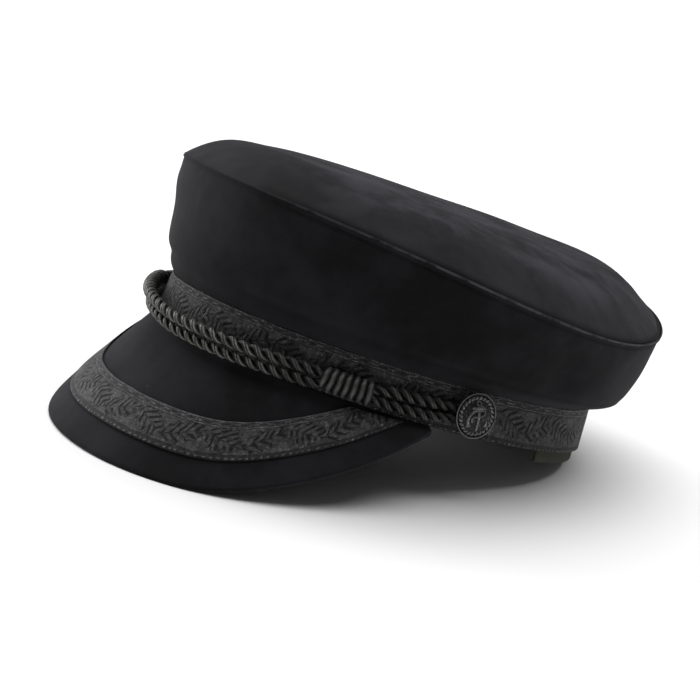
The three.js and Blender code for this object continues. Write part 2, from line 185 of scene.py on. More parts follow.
@dataclass(frozen=True)
class HeadOval:
    """The oval of the head band, which leans in a little as it rises.

    A direction is read between two places near each other, as far to each side as near says.
    """

    half_width: float = 83.5
    half_length: float = 101.7
    front_taper: float = 0.03
    height: float = 18.8
    lean_in: float = 1.4
    near: float = 0.05

    def point(self, angle: Array, out: Array, height: Array) -> Array:
        """A point on the band or near it.

        Args:
            angle: the place round the band, in degrees.
            out: how far out from the band's outer face.
            height: how far over the band's lower edge.

        Returns:
            The point in the hat's frame.
        """
        turn = np.radians(angle)
        lean = -self.lean_in * height / self.height
        across = (self.half_width + lean + out) * (1 - self.front_taper * np.cos(turn))
        along = self.half_length + lean + out
        return columns(across * np.sin(turn), -along * np.cos(turn), height)

    def outward(self, angle: Array) -> Array:
        """The level direction straight out of the band."""
        step = self.point(angle + self.near, 0, 0) - self.point(angle - self.near, 0, 0)
        return unit(columns(step[..., 1], -step[..., 0], 0))


class SideFold(NamedTuple):
    """A soft crease of the side wall: rise is a share of its height, lean turns the crease as it rises."""

    angle: float
    rise: float
    lean: float
    angle_span: float
    rise_span: float
    depth: float


class TopFold(NamedTuple):
    """A soft ridge or hollow of the top panel: heading is the way it runs, 0 towards +X."""

    x: float
    y: float
    heading: float
    length: float
    width: float
    depth: float


SIDE_FOLDS = (
    SideFold(340, 0.25, 0, 16, 0.25, 1.3),
    SideFold(24, 0.3, 5, 8, 0.3, -1.0),
    SideFold(60, 0.4, 0, 14, 0.3, -0.9),
    SideFold(97, 0.45, -12, 4.5, 0.4, -1.6),
    SideFold(110, 0.5, -8, 9, 0.35, 1.2),
    SideFold(140, 0.5, 0, 15, 0.4, 1.4),
    SideFold(168, 0.45, 8, 6, 0.35, -1.5),
    SideFold(205, 0.4, -6, 7, 0.35, -1.6),
    SideFold(262, 0.5, 10, 5, 0.4, -1.5),
    SideFold(310, 0.4, 6, 9, 0.3, -1.1),
    SideFold(322, 0.78, 0, 18, 0.16, 1.6),
)

TOP_FOLDS = (
    TopFold(-18, -92, 8, 42, 15, 3.4),
    TopFold(30, -50, 62, 46, 15, 1.2),
    TopFold(62, 10, 78, 40, 9, -1.4),
    TopFold(72, 46, 22, 13, 5, 1.3),
    TopFold(62, 66, 38, 13, 5, 1.0),
    TopFold(46, 84, 55, 13, 6, 1.0),
    TopFold(-24, -5, 95, 55, 24, 1.6),
    TopFold(5, 70, 160, 50, 22, -1.6),
    TopFold(-62, -25, 70, 34, 13, -1.2),
    TopFold(-55, 60, 130, 22, 9, 1.2),
    TopFold(-46, -88, 30, 18, 11, 3.0),
)


@dataclass(frozen=True)
class CrownShape:
    """The soft crown: a side wall that puffs out over the band, and a domed oval top."""

    oval: HeadOval = HeadOval()
    half_width: float = 101.6
    half_length: float = 113.0
    set_back: float = 4.7
    girth: float = 660.0
    base_height: float = 61.0
    dome_height: float = 18.9
    dome_power: float = 5.3
    fold_power: int = 6
    puff_front: float = 3.0
    puff_back: float = 11.2
    puff_full_at: float = 0.14
    foot_gap: float = 0.3
    seam_waves: tuple[tuple[int, float], ...] = ((1, 2.1), (2, 5.7), (3, -2.3))
    softest: float = 0.12
    soft_at: float = -22.0
    soft_span: float = 26.0
    soft_fade: float = 36.0
    near_turn: float = 0.2
    near_step: float = 0.004

    def crispness(self, angle: Array) -> Array:
        """How sharply the seam stands up, from its softest at the right of the front to 1."""
        away = np.abs(aside(angle, self.soft_at)) - self.soft_span
        return grown(self.softest, smooth(away / self.soft_fade))

    def seam(self, angle: Array) -> Array:
        """The seam between the top panel and the side wall.

        Args:
            angle: the place round the crown, in degrees.

        Returns:
            The point on the seam.
        """
        turn = np.radians(angle)
        wave = sum(height * np.cos(turns * turn) for turns, height in self.seam_waves)
        across = self.half_width * np.sin(turn)
        return columns(across, self.set_back - self.half_length * np.cos(turn), self.base_height + wave)

    def side_fold(self, angle: Array, rise: Array) -> Array:
        """The creases of the side wall.

        Args:
            angle: the place round the crown, in degrees.
            rise: the share of the way up the wall.

        Returns:
            How far the creases push the wall out.
        """
        push = 0.0
        for fold in SIDE_FOLDS:
            middle = fold.angle + fold.lean * (rise - fold.rise)
            across = aside(angle, middle) / fold.angle_span
            push = push + fold.depth * bell(across) * bell((rise - fold.rise) / fold.rise_span)
        return push * np.sin(np.pi * held(rise))

    def side(self, angle: Array, rise: Array) -> Array:
        """The side wall's outer face.

        Args:
            angle: the place round the crown, in degrees.
            rise: the share of the way up the wall, 0 at the band and 1 at the seam.

        Returns:
            The point on the face.
        """
        foot = self.oval.point(angle, 0, self.oval.height + self.foot_gap)
        back_share = (1 - np.cos(np.radians(angle))) / 2
        fullness = self.puff_front + (self.puff_back - self.puff_front) * back_share
        swell = np.sin(np.pi / 2 * held(rise / self.puff_full_at)) * (1 - rise)
        push = fullness * swell + self.side_fold(angle, rise)
        share = rise[..., None]
        return foot * (1 - share) + self.seam(angle) * share + self.oval.outward(angle) * push[..., None]

    def top_fold(self, x: Array, y: Array, spread: Array) -> Array:
        """The folds of the top panel.

        Args:
            x: the place across the panel.
            y: the place along the panel.
            spread: the share of the way from its middle to the seam.

        Returns:
            How far the folds lift the panel.
        """
        lift = 0.0
        for fold in TOP_FOLDS:
            heading = math.radians(fold.heading)
            along = (x - fold.x) * math.cos(heading) + (y - fold.y) * math.sin(heading)
            across = (y - fold.y) * math.cos(heading) - (x - fold.x) * math.sin(heading)
            lift = lift + fold.depth * bell(along / fold.length) * bell(across / fold.width)
        return lift * (1 - spread**self.fold_power)

    def top(self, angle: Array, spread: Array) -> Array:
        """The top panel's outer face.

        Args:
            angle: the place round the crown, in degrees.
            spread: the share of the way from the panel's middle to the seam.

        Returns:
            The point on the face.
        """
        seam = self.seam(angle)
        x = seam[..., 0] * spread
        y = self.set_back + (seam[..., 1] - self.set_back) * spread
        height = self.base_height + (seam[..., 2] - self.base_height) * spread**2
        dome = self.dome_height * (1 - spread**self.dome_power)
        return columns(x, y, height + dome + self.top_fold(x, y, spread))

    def facing(self, surface: Callable[[Array, Array], Array], angle: Array, step: Array) -> Array:
        """The way that a face of the crown faces.

        Args:
            surface: the face, side or top.
            angle: the place round the crown, in degrees.
            step: the face's own rise or spread.

        Returns:
            The direction straight out of the side wall, or straight into the top panel.
        """
        around = surface(angle + self.near_turn, step) - surface(angle - self.near_turn, step)
        above, below = np.minimum(step + self.near_step, 1), np.maximum(step - self.near_step, 0)
        return unit(np.cross(around, surface(angle, above) - surface(angle, below)))


@dataclass(frozen=True)
class VisorShape:
    """The stiff visor, which slopes steeply in its middle and flattens to its two ends."""

    oval: HeadOval = HeadOval()
    reach: float = 60.0
    power: float = 2.3
    half_span: float = 74.7
    built_span: float = 73.0
    root_out: float = 1.0
    root_in: float = 2.4
    wall: float = 3.0
    drop_front: float = 59.7
    drop_side: float = 6.0
    drop_power: float = 5.0
    shoulder_angle: float = 30.0
    shoulder_span: float = 14.0
    shoulder_fullness: float = 2.5
    root_gap: float = 0.3

    def reach_at(self, angle: Array) -> Array:
        """The visor's length from the band to its edge, fuller by a shoulder on each side.

        Args:
            angle: the place round the band, in degrees.

        Returns:
            The length.
        """
        share = np.abs(angle) / self.half_span
        shoulder = bell((np.abs(angle) - self.shoulder_angle) / self.shoulder_span) * (1 - share**4)
        return self.reach * (1 - share**self.power) + self.shoulder_fullness * shoulder

    def drop_at(self, angle: Array) -> Array:
        """The visor's slope below the level, in radians."""
        share = (np.abs(angle) / self.half_span) ** self.drop_power
        return np.radians(self.drop_front + (self.drop_side - self.drop_front) * share)

    def point(self, angle: Array, distance: Array, lift: Array) -> Array:
        """A point on the visor's upper face or near it.

        Args:
            angle: the place round the band, in degrees.
            distance: how far down the visor from the band.
            lift: how far off the upper face.

        Returns:
            The point in the hat's frame.
        """
        out = self.oval.outward(angle)
        drop = self.drop_at(angle)[..., None]
        up = np.array([0.0, 0.0, 1.0])
        down = out * np.cos(drop) - up * np.sin(drop)
        face = out * np.sin(drop) + up * np.cos(drop)
        root = self.oval.point(angle, self.root_out, -self.root_gap)
        return root + down * np.asarray(distance)[..., None] + face * np.asarray(lift)[..., None]


class RouteRow(NamedTuple):
    """A stop on the twin cord's route: roll is how far the upper strand rolls out over the lower one."""

    angle: float
    height: float
    stand_off: float
    spread: float
    roll: float
    radius: float


CORD_ROUTE = (
    RouteRow(-79.2, 8.4, 2.2, 2.1, 0, 1.8),
    RouteRow(-74.8, 8.2, 2.5, 2.4, 0, 2.0),
    RouteRow(-71, 8.7, 3.6, 2.7, 0, 2.5),
    RouteRow(-61, 9.5, 4.2, 2.6, 0, 2.4),
    RouteRow(-57, 9.8, 4.2, 1.75, 0, 1.6),
    RouteRow(-46, 10.2, 4.2, 1.75, 0, 1.6),
    RouteRow(-42, 9.5, 4.6, 2.45, 1.5, 2.9),
    RouteRow(-27, 7.5, 4.8, 2.45, 1.6, 2.9),
    RouteRow(-12, 5.8, 5.9, 2.4, 1.5, 2.4),
    RouteRow(0, 4.1, 5.7, 2.4, 1.2, 2.4),
    RouteRow(22, 4.1, 5.2, 2.5, 0.5, 2.4),
    RouteRow(42, 5.4, 4.7, 2.5, 0, 2.4),
    RouteRow(46, 5.8, 4.2, 1.75, 0, 1.6),
    RouteRow(57, 6.5, 4.2, 1.75, 0, 1.6),
    RouteRow(61, 6.7, 4.2, 2.6, 0, 2.5),
    RouteRow(71, 7.3, 3.6, 2.6, 0, 2.5),
    RouteRow(74.8, 7.8, 2.5, 2.3, 0, 2.0),
    RouteRow(79.2, 8.4, 2.2, 2.0, 0, 1.8),
)


@dataclass(frozen=True)
class CordRoute:
    """The way of the two strands round the front of the band."""

    oval: HeadOval = HeadOval()
    rows: tuple[RouteRow, ...] = CORD_ROUTE

    def _between(self, values: Array, row: Array, share: Array) -> Array:
        """Reads a smooth curve through a column of values.

        Args:
            values: the column.
            row: the row before each place.
            share: the share of the way to the next row.

        Returns:
            The curve's value at each place.
        """
        last = len(values) - 1
        before, after = values[np.maximum(row - 1, 0)], values[np.minimum(row + 2, last)]
        here, there = values[row], values[row + 1]
        start, end = (there - before) / 2, (after - here) / 2
        bend = 2 * here - 2 * there + start + end
        slope = -3 * here + 3 * there - 2 * start - end
        return ((bend * share + slope) * share + start) * share + here

    def centre(self, angle: Array, side: int) -> Skin:
        """The middle of a strand.

        Args:
            angle: places round the band, in degrees.
            side: 1 for the upper strand and -1 for the lower one.

        Returns:
            The strand's middle points and its radius there.
        """
        angles, heights, stand_offs, *rest = np.array(self.rows).T
        row = np.clip(np.searchsorted(angles, angle, side="right") - 1, 0, len(angles) - 2)
        share = (angle - angles[row]) / (angles[row + 1] - angles[row])
        height = self._between(heights, row, share)
        stand_off = self._between(stand_offs, row, share)
        eased = smooth(share)
        spread, roll, radius = (values[row] * (1 - eased) + values[row + 1] * eased for values in rest)
        return self.oval.point(angle, stand_off + side * roll, height + side * spread), radius

    def middle(self, angle: Array) -> Skin:
        """The height and the stand-off of the middle line between the strands, straight between its rows."""
        angles, heights, stand_offs, *_ = np.array(self.rows).T
        return np.interp(angle, angles, heights), np.interp(angle, angles, stand_offs)


STANCE = Stance()
OVAL = HeadOval()
CROWN = CrownShape()
VISOR = VisorShape()
ROUTE = CordRoute()


# ---------------------------------------------------------------- shader sums


Operand = Union["Wire", float]
SocketKey = Union[str, int]


def math_node(operation: str, reflected: bool = False) -> Callable[..., "Wire"]:
    """Makes a method of Wire that adds one Math node.

    Args:
        operation: the node's operation.
        reflected: whether the other value comes first.

    Returns:
        The method, which takes another value where the operation has two.
    """

    def method(wire: "Wire", *others: Operand) -> "Wire":
        """Puts this value, and another where there is one, through the Math node."""
        values = (*others, wire) if reflected else (wire, *others)
        return wire.recipe.node("ShaderNodeMath", {"operation": operation}, dict(enumerate(values)))

    return method


class Wire:
    """A value that varies over a surface: a node's output socket, with sums as Math nodes."""

    line_crest = 0.35

    def __init__(self, recipe: "Recipe", socket: bpy.types.NodeSocket) -> None:
        """Holds a socket of a recipe's node tree."""
        self.recipe = recipe
        self.socket = socket

    __add__ = __radd__ = math_node("ADD")
    __mul__ = __rmul__ = math_node("MULTIPLY")
    __sub__ = math_node("SUBTRACT")
    __rsub__ = math_node("SUBTRACT", reflected=True)
    __truediv__ = math_node("DIVIDE")
    __abs__ = math_node("ABSOLUTE")
    sine = math_node("SINE")
    part = math_node("FRACT")
    whole = math_node("FLOOR")
    root = math_node("SQRT")
    most = math_node("MAXIMUM")

    def held(self) -> "Wire":
        """The value kept between 0 and 1."""
        return self.recipe.node("ShaderNodeMath", {"operation": "ADD", "use_clamp": True}, {0: self, 1: 0.0})

    def eased(self, low: float, high: float) -> "Wire":
        """Goes smoothly from 0 at one value to 1 at another.

        Args:
            low: the value that gives 0.
            high: the value that gives 1, which may be the smaller of the two.

        Returns:
            The eased value.
        """
        settings = {"interpolation_type": "SMOOTHSTEP"}
        values = {"Value": self, "From Min": low, "From Max": high, "To Min": 0.0, "To Max": 1.0}
        if low > high:
            values.update({"From Min": high, "From Max": low, "To Min": 1.0, "To Max": 0.0})
        return self.recipe.node("ShaderNodeMapRange", settings, values)

    def line(self, middle: float, half_width: float) -> "Wire":
        """A soft line: 1 where the value is at its middle, and 0 past its half width."""
        return abs(self - middle).eased(half_width, half_width * self.line_crest)

    def wave(self, pitch: float, depth: float = 0.5) -> "Wire":
        """Rises to 1 once in each pitch, and falls by twice its depth between."""
        return (self * (math.tau / pitch)).sine() * depth + (1 - depth)

    def within(self, pitch: float) -> "Wire":
        """The place within each pitch, from -0.5 to 0.5."""
        return (self / pitch).part() - 0.5


def far(x: Wire, y: Wire) -> Wire:
    """The distance of a place from the middle."""
    return (x * x + y * y).root()


class Recipe:
    """A material's node tree, built from the shader's end."""

    blend_ends = (6, 7)
    blend_result = 2
    speck_edge = (0.045, 0.02)
    pick_edge = 0.001

    def __init__(self, name: str) -> None:
        """Starts a material that has only its output.

        Args:
            name: the material's name.
        """
        self.material = bpy.data.materials.new(name)
        self.material.use_nodes = True
        self.tree = self.material.node_tree
        self.tree.nodes.clear()
        self.end = self.tree.nodes.new("ShaderNodeOutputMaterial")

    def node(
        self, kind: str, settings: dict[str, Any], values: dict[SocketKey, Any], out: SocketKey = 0
    ) -> Wire:
        """Adds a node.

        Args:
            kind: the node's type.
            settings: its own properties, set first.
            values: numbers, colours or wires for its sockets, by name or place.
            out: the output to read, by name or place.

        Returns:
            The output.
        """
        made = self.tree.nodes.new(kind)
        for key, value in settings.items():
            setattr(made, key, value)
        for key, value in values.items():
            if isinstance(value, Wire):
                self.tree.links.new(value.socket, made.inputs[key])
            else:
                made.inputs[key].default_value = value
        return Wire(self, made.outputs[out])

    def run(self) -> tuple[Wire, Wire]:
        """Reads the piece's own map.

        Returns:
            The way along the piece and the way across it, in millimetres.
        """
        read = self.node("ShaderNodeUVMap", {"uv_map": RUN_MAP}, {}, "UV")
        along = self.node("ShaderNodeSeparateXYZ", {}, {0: read}, "X")
        return along, Wire(self, along.socket.node.outputs["Y"])

    def cells(self, kind: str, settings: dict[str, Any], size: float, out: str, **values: float) -> Wire:
        """A texture node that reads the place on the hat.

        Args:
            kind: the node's type.
            settings: its own properties.
            size: the size of its patches or cells in millimetres.
            out: the output to read.
            **values: numbers for its other sockets.

        Returns:
            The output.
        """
        place = self.node("ShaderNodeTexCoord", {}, {}, "Object")
        return self.node(kind, settings, {"Vector": place, "Scale": 1 / (size * METRES), **values}, out)

    def noise(self, size: float, detail: float = 2.0, rough: float = 0.5) -> Wire:
        """Soft noise from 0 to 1, with patches of a size in millimetres."""
        settings = {"normalize": True}
        return self.cells("ShaderNodeTexNoise", settings, size, "Fac", Detail=detail, Roughness=rough)

    def specks(self, size: float, share: float) -> Wire:
        """Small scattered dots.

        Args:
            size: the size in millimetres of the cells that a dot may be in.
            share: the share of the cells that have one.

        Returns:
            1 inside a dot and 0 elsewhere.
        """
        distance = self.cells("ShaderNodeTexVoronoi", {"feature": "F1"}, size, "Distance")
        colour = Wire(self, distance.socket.node.outputs["Color"])
        pick = self.node("ShaderNodeSeparateColor", {}, {0: colour}, "Red")
        return distance.eased(*self.speck_edge) * pick.eased(1 - share, 1 - share + self.pick_edge)

    def blend(self, share: Wire, start: Union[Wire, Colour], end: Union[Wire, Colour]) -> Wire:
        """A colour between two colours.

        Args:
            share: 0 for the first colour and 1 for the second.
            start: the first colour.
            end: the second colour.

        Returns:
            The colour.
        """
        colours = [value if isinstance(value, Wire) else (*value, 1) for value in (start, end)]
        values = {0: share, **dict(zip(self.blend_ends, colours))}
        return self.node("ShaderNodeMix", {"data_type": "RGBA"}, values, self.blend_result)

    def bump(self, height: Wire, depth: float, **under: Wire) -> Wire:
        """A bumped normal.

        Args:
            height: the relief, from 0 to 1.
            depth: how deep the relief is, in millimetres.
            **under: as Normal, a normal that this relief is laid over.

        Returns:
            The normal.
        """
        values = {"Height": height, "Strength": 1.0, "Distance": depth * METRES, **under}
        return self.node("ShaderNodeBump", {}, values)

    def surface(self, **values: Any) -> Material:
        """Ends the recipe with one Principled shader.

        Args:
            **values: what its sockets get, under their names in lower case.

        Returns:
            The material.
        """
        named = {key.replace("_", " ").title().replace("Ior", "IOR"): value for key, value in values.items()}
        shader = self.node("ShaderNodeBsdfPrincipled", {}, named)
        self.tree.links.new(shader.socket, self.end.inputs["Surface"])
        return self.material


# ---------------------------------------------------------------- finishes


@dataclass(frozen=True)
class ClothFinish:
    """Black brushed twill: a matt ground, a fine diagonal grain, a soft sheen and a little lint."""

    name: str = "black_twill"
    dark: Colour = (0.0020, 0.0020, 0.0023)
    light: Colour = (0.0105, 0.0101, 0.0120)
    lint: Colour = (0.10, 0.10, 0.11)
    twill_pitch: float = 0.75
    fuzz_size: float = 0.55
    cloud_size: float = 34.0
    patch_size: float = 6.0
    lint_cell: float = 9.0
    lint_share: float = 0.07
    slack_size: float = 19.0
    slack_depth: float = 0.7
    grain_depth: float = 0.09

    def marked(self, mix: Recipe, ground: Wire, fuzz: Wire) -> Wire:
        """The ground's colour with any marks laid over it: the plain cloth has none."""
        return ground

    def material(self) -> Material:
        """Builds the material.

        Returns:
            The material.
        """
        mix = Recipe(self.name)
        along, across = mix.run()
        twill = (along + across).wave(self.twill_pitch)
        fuzz = mix.noise(self.fuzz_size, 3.0, 0.65)
        cloudy = mix.noise(self.cloud_size, 3.0, 0.55)
        tone = cloudy * 0.62 + mix.noise(self.patch_size) * 0.14 + fuzz * 0.16 + twill * 0.08
        ground = mix.blend(tone.eased(0.38, 0.64), self.dark, self.light)
        lint = mix.specks(self.lint_cell, self.lint_share)
        slack = mix.bump(mix.noise(self.slack_size), self.slack_depth)
        return mix.surface(
            base_color=mix.blend(lint * 0.6, self.marked(mix, ground, fuzz), self.lint),
            roughness=fuzz * 0.12 + 0.80,
            specular_ior_level=0.085,
            sheen_weight=0.06,
            sheen_roughness=0.62,
            sheen_tint=(0.82, 0.82, 0.90, 1),
            normal=mix.bump(twill * 0.35 + fuzz * 0.65, self.grain_depth, Normal=slack),
        )


@dataclass(frozen=True)
class WallFinish(ClothFinish):
    """The side wall's twill, with a painted highlight along the seam ridge except at the right of the front.
    """

    name: str = "seam_highlight_twill"
    # rubbed is the colour of a painted highlight along the seam ridge; seam_place and seam_span place the
    # line, and it fades out towards least_at
    rubbed: Colour = (0.052, 0.052, 0.056)
    seam_place: float = 43.6
    seam_span: float = 1.2
    least_at: float = 616.0
    girth: float = CROWN.girth
    highlight_fade: float = 120.0
    rub_size: float = 5.0

    def marked(self, mix: Recipe, ground: Wire, fuzz: Wire) -> Wire:
        """Paints a highlight on the ground along the seam ridge.

        Args:
            mix: the recipe.
            ground: the cloth's own colour.
            fuzz: its fine noise.

        Returns:
            The colour with a painted highlight line, which fades out near the place round the wall where it
            is least.
        """
        along, across = mix.run()
        away = abs(((along - self.least_at) / self.girth + 0.5).part() - 0.5) * self.girth
        # a patchy painted highlight line along the seam ridge, fading out towards least_at
        share = mix.noise(self.rub_size, 2.0, 0.6).eased(0.28, 0.58) * (away / self.highlight_fade - 0.35).held()
        return mix.blend(across.line(self.seam_place, self.seam_span) * share, ground, self.rubbed)


@dataclass(frozen=True)
class TopFinish(ClothFinish):
    """The top panel's twill, brushed pale in drifting patches away from the seam."""

    name: str = "brushed_top_twill"
    brushed: Colour = (0.0320, 0.0308, 0.0370)
    drift_size: float = 30.0
    drift: float = 0.3
    brush_size: float = 23.0

    def marked(self, mix: Recipe, ground: Wire, fuzz: Wire) -> Wire:
        """Brushes the ground in patches.

        Args:
            mix: the recipe.
            ground: the cloth's own colour.
            fuzz: its fine noise.

        Returns:
            The colour with pale patches that stop short of the seam.
        """
        along, across = mix.run()
        spread = far(along / CROWN.half_width, (across - CROWN.set_back) / CROWN.half_length)
        spread = spread + (mix.noise(self.drift_size) - 0.5) * self.drift
        patches = mix.noise(self.brush_size, 4.0, 0.62).eased(0.36, 0.62) * (fuzz * 0.6 + 0.4)
        return mix.blend(patches * spread.eased(0.93, 0.74), ground, self.brushed)


@dataclass(frozen=True)
class BraidFinish:
    """Black jacquard braid: a chain along one edge, dots along the other, and veined leaves between."""

    name: str
    width: float
    sunk: Colour = (0.0028, 0.0028, 0.0032)
    thread: Colour = (0.176, 0.172, 0.182)
    repeat: float = 16.2
    leaf_turn: float = 24.0
    leaf_half_length: float = 8.2
    leaf_half_width: float = 5.8
    vein_pitch: float = 3.3
    vein_slant: float = 0.75
    rib_pitch: float = 1.05
    line_places: Pair = (0.5, 2.95)
    line_half_widths: Pair = (0.42, 0.36)
    link_pitch: float = 7.5
    link_half_length: float = 3.1
    link_half_height: float = 0.85
    link_place: float = 1.72
    dot_pitch: float = 2.7
    dot_length: float = 1.6
    dot_place: float = 0.75
    sway_along: float = 5.0
    sway_along_size: float = 9.0
    sway_up: float = 1.2
    sway_up_size: float = 8.0
    break_size: float = 2.6
    fibre_size: float = 0.5
    wear_size: float = 3.2
    gleam_size: float = 1.3
    relief: float = 1.0

    def chain(self, along: Wire, edge: Wire) -> Wire:
        """Two raised lines with a chain of long oval links between them.

        Args:
            along: the way along the braid.
            edge: the distance from its upper edge.

        Returns:
            How far the chain stands up, from 0 to 1.
        """
        lower, upper = (edge.line(*each) for each in zip(self.line_places, self.line_half_widths))
        step = along.within(self.link_pitch) * (self.link_pitch / self.link_half_length)
        ring = far(step, (edge - self.link_place) / self.link_half_height)
        joints = ring.eased(1.02, 1.16) * edge.line(self.link_place, 0.7)
        return lower.most(upper).most(ring.line(0.88, 0.34) * 0.6).most(joints)

    def dots(self, along: Wire, height: Wire) -> Wire:
        """A row of small raised stitches close to the edge."""
        step = along.within(self.dot_pitch) * (self.dot_pitch / self.dot_length)
        return far(step, height - self.dot_place).eased(0.62, 0.2)

    def cuts(self, along: Wire, middle: Wire, broken: Wire) -> Wire:
        """The sunk veins, ribs and outlines of leaves that lean up and down in turn along the braid.

        Args:
            along: the way along the braid.
            middle: the height over the braid's middle line.
            broken: how whole the pattern is, from 0 to 1.

        Returns:
            How far the pattern is sunk, from 0 to 1.
        """
        flip = ((along / self.repeat).whole() * 0.5).part() * -4.0 + 1.0
        x = along.within(self.repeat) * self.repeat
        y = middle * flip
        turn = math.radians(self.leaf_turn)
        way = x * math.cos(turn) + y * math.sin(turn)
        off = abs(y * math.cos(turn) - x * math.sin(turn))
        share = way / self.leaf_half_length
        lobes = way.wave(self.vein_pitch, 0.13)
        inside = (1.0 - share * share).most(0.0).root() * self.leaf_half_width * lobes - off
        vein = abs((way - off * self.vein_slant).within(self.vein_pitch)).eased(0.33, 0.12)
        leaf = inside.eased(-0.1, 0.5) * vein.most(off.eased(0.42, 0.12) * 0.7)
        return leaf.most(inside.line(0.0, 0.5) * 0.6) * broken

    def material(self) -> Material:
        """Builds the material.

        Returns:
            The material.
        """
        mix = Recipe(self.name)
        along, across = mix.run()
        run = along + (mix.noise(self.sway_along_size, 3.0, 0.6) - 0.5) * self.sway_along
        height = across + (mix.noise(self.sway_up_size) - 0.5) * self.sway_up
        edge = self.width - height
        field = height.eased(2.2, 2.8) * edge.eased(3.2, 3.8)
        broken = mix.noise(self.break_size, 1.0).eased(0.30, 0.58) * 0.85 + 0.15
        branch = 0.68 - self.cuts(run, height - self.width / 2, broken) * 0.60
        border = self.chain(run, edge).most(self.dots(run, height)) * 0.66 + 0.34
        fine = mix.noise(self.fibre_size, 2.0, 0.6)
        marked = mix.noise(self.wear_size, 3.0, 0.7).eased(0.3, 0.7)
        bright = mix.noise(self.gleam_size, 2.0, 0.7).eased(0.52, 0.66)
        level = border + (branch - border) * field
        relief = level * 0.8 + along.wave(self.rib_pitch) * 0.08 + fine * 0.12
        tone = (relief * relief * (marked * 0.8 + 0.35) * (bright * 0.8 + 0.6)).held()
        return mix.surface(
            base_color=mix.blend(tone, self.sunk, self.thread),
            roughness=0.74 - level * 0.26 + fine * 0.10,
            specular_ior_level=0.20,
            sheen_weight=0.04,
            sheen_roughness=0.5,
            normal=mix.bump(relief, self.relief),
        )


@dataclass(frozen=True)
class CordFinish:
    """Black twisted gimp: painted shade in the grooves, and a green-grey painted highlight along each crest,
    which darkens into painted shade towards the ends.
    """

    name: str
    turn_radius: float
    # groove is the painted shade in the grooves between plies; dark to light is the range of the painted
    # highlight on the crests
    groove: Colour = (0.0022, 0.0026, 0.0022)
    dark: Colour = (0.0220, 0.0235, 0.0205)
    light: Colour = (0.36, 0.375, 0.33)
    yarn_pitch: float = 0.62
    slant: float = 0.55
    # middle is the middle of the cord's length; the next value is how far the crest highlight darkens
    # towards both ends, as painted shade
    middle: float = 132.0
    highlight_fade: float = 0.72
    fibre_size: float = 0.4
    patch_size: float = 5.0
    yarn_depth: float = 0.09

    def material(self) -> Material:
        """Builds the material.

        Returns:
            The material.
        """
        mix = Recipe(self.name)
        along, across = mix.run()
        crest = (across / self.turn_radius + math.pi / 2).sine() * 0.5 + 0.5
        yarns = (across + along * self.slant).wave(self.yarn_pitch)
        fine = mix.noise(self.fibre_size, 2.0, 0.6)
        tone = yarns * 0.3 + fine * 0.25 + mix.noise(self.patch_size) * 0.45
        # painted shade: the crest highlight darkens towards both ends of the cord, away from its middle
        painted_end_shade = abs(along / self.middle - 1.0).eased(0.54, 0.84) * self.highlight_fade
        lit = mix.blend(tone.eased(0.25, 0.85) * (1.0 - painted_end_shade), self.dark, self.light)
        return mix.surface(
            # a narrow painted highlight on each crest, and painted shade in the grooves between
            base_color=mix.blend(crest.eased(0.92, 1.0), self.groove, lit),
            roughness=0.62 - crest * 0.34 + fine * 0.12,
            specular_ior_level=0.30,
            normal=mix.bump(yarns * 0.8 + fine * 0.2, self.yarn_depth),
        )


@dataclass(frozen=True)
class WhippingFinish(CordFinish):
    """The knots' gimp: lighter painted shade in its grooves and a dimmer painted highlight on its crests
    than the strands', even from end to end.
    """

    # lighter painted shade in the grooves and a dimmer painted highlight on the crests than the strands'
    groove: Colour = (0.011, 0.0122, 0.011)
    light: Colour = (0.13, 0.139, 0.13)
    highlight_fade: float = 0.0


class Wear(Enum):
    """How much of the dark patina is rubbed off a part of a button."""

    FIELD = 0.10
    RAISED = 0.72


@dataclass(frozen=True)
class MetalFinish:
    """Antiqued metal: a dark patina, rubbed back to grey metal where it stands proud."""

    name: str
    wear: Wear
    patina: Colour = (0.014, 0.0135, 0.0145)
    bare: Colour = (0.22, 0.22, 0.225)
    rub_size: float = 1.5
    pit_size: float = 0.35
    glint_size: float = 0.8
    pit_depth: float = 0.12

    def material(self) -> Material:
        """Builds the material.

        Returns:
            The material.
        """
        mix = Recipe(self.name)
        rubbed = mix.noise(self.rub_size, 3.0, 0.6)
        fine = mix.noise(self.pit_size, 2.0, 0.6)
        glint = mix.noise(self.glint_size, 2.0, 0.6).eased(0.52, 0.66)
        share = (rubbed * 0.70 + fine * 0.20 + glint * 0.42 + self.wear.value - 0.68).held()
        return mix.surface(
            base_color=mix.blend(share, self.patina, self.bare),
            metallic=share * 0.25 + 0.7,
            roughness=0.46 - share * 0.16 + fine * 0.12,
            normal=mix.bump(rubbed * 0.6 + fine * 0.4, self.pit_depth),
        )


@dataclass(frozen=True)
class WebbingFinish:
    """Dark olive webbing with fine upright ribs."""

    name: str = "plain_webbing"
    dark: Colour = (0.020, 0.021, 0.013)
    light: Colour = (0.048, 0.049, 0.030)
    rib_pitch: float = 0.9
    weft_pitch: float = 0.5
    fibre_size: float = 0.6
    soil_size: float = 8.0
    weave_depth: float = 0.22

    def material(self) -> Material:
        """Builds the material.

        Returns:
            The material.
        """
        mix = Recipe(self.name)
        along, across = mix.run()
        ribs = along.wave(self.rib_pitch)
        weft = across.wave(self.weft_pitch)
        fine = mix.noise(self.fibre_size, 2.0, 0.6)
        tone = ribs * 0.3 + weft * 0.15 + fine * 0.15 + mix.noise(self.soil_size) * 0.4
        return mix.surface(
            base_color=mix.blend(tone.eased(0.2, 0.8), self.dark, self.light),
            roughness=0.82 + fine * 0.12,
            specular_ior_level=0.25,
            sheen_weight=0.10,
            normal=mix.bump(ribs * 0.6 + weft * 0.2 + fine * 0.2, self.weave_depth),
        )


# ---------------------------------------------------------------- the workbench


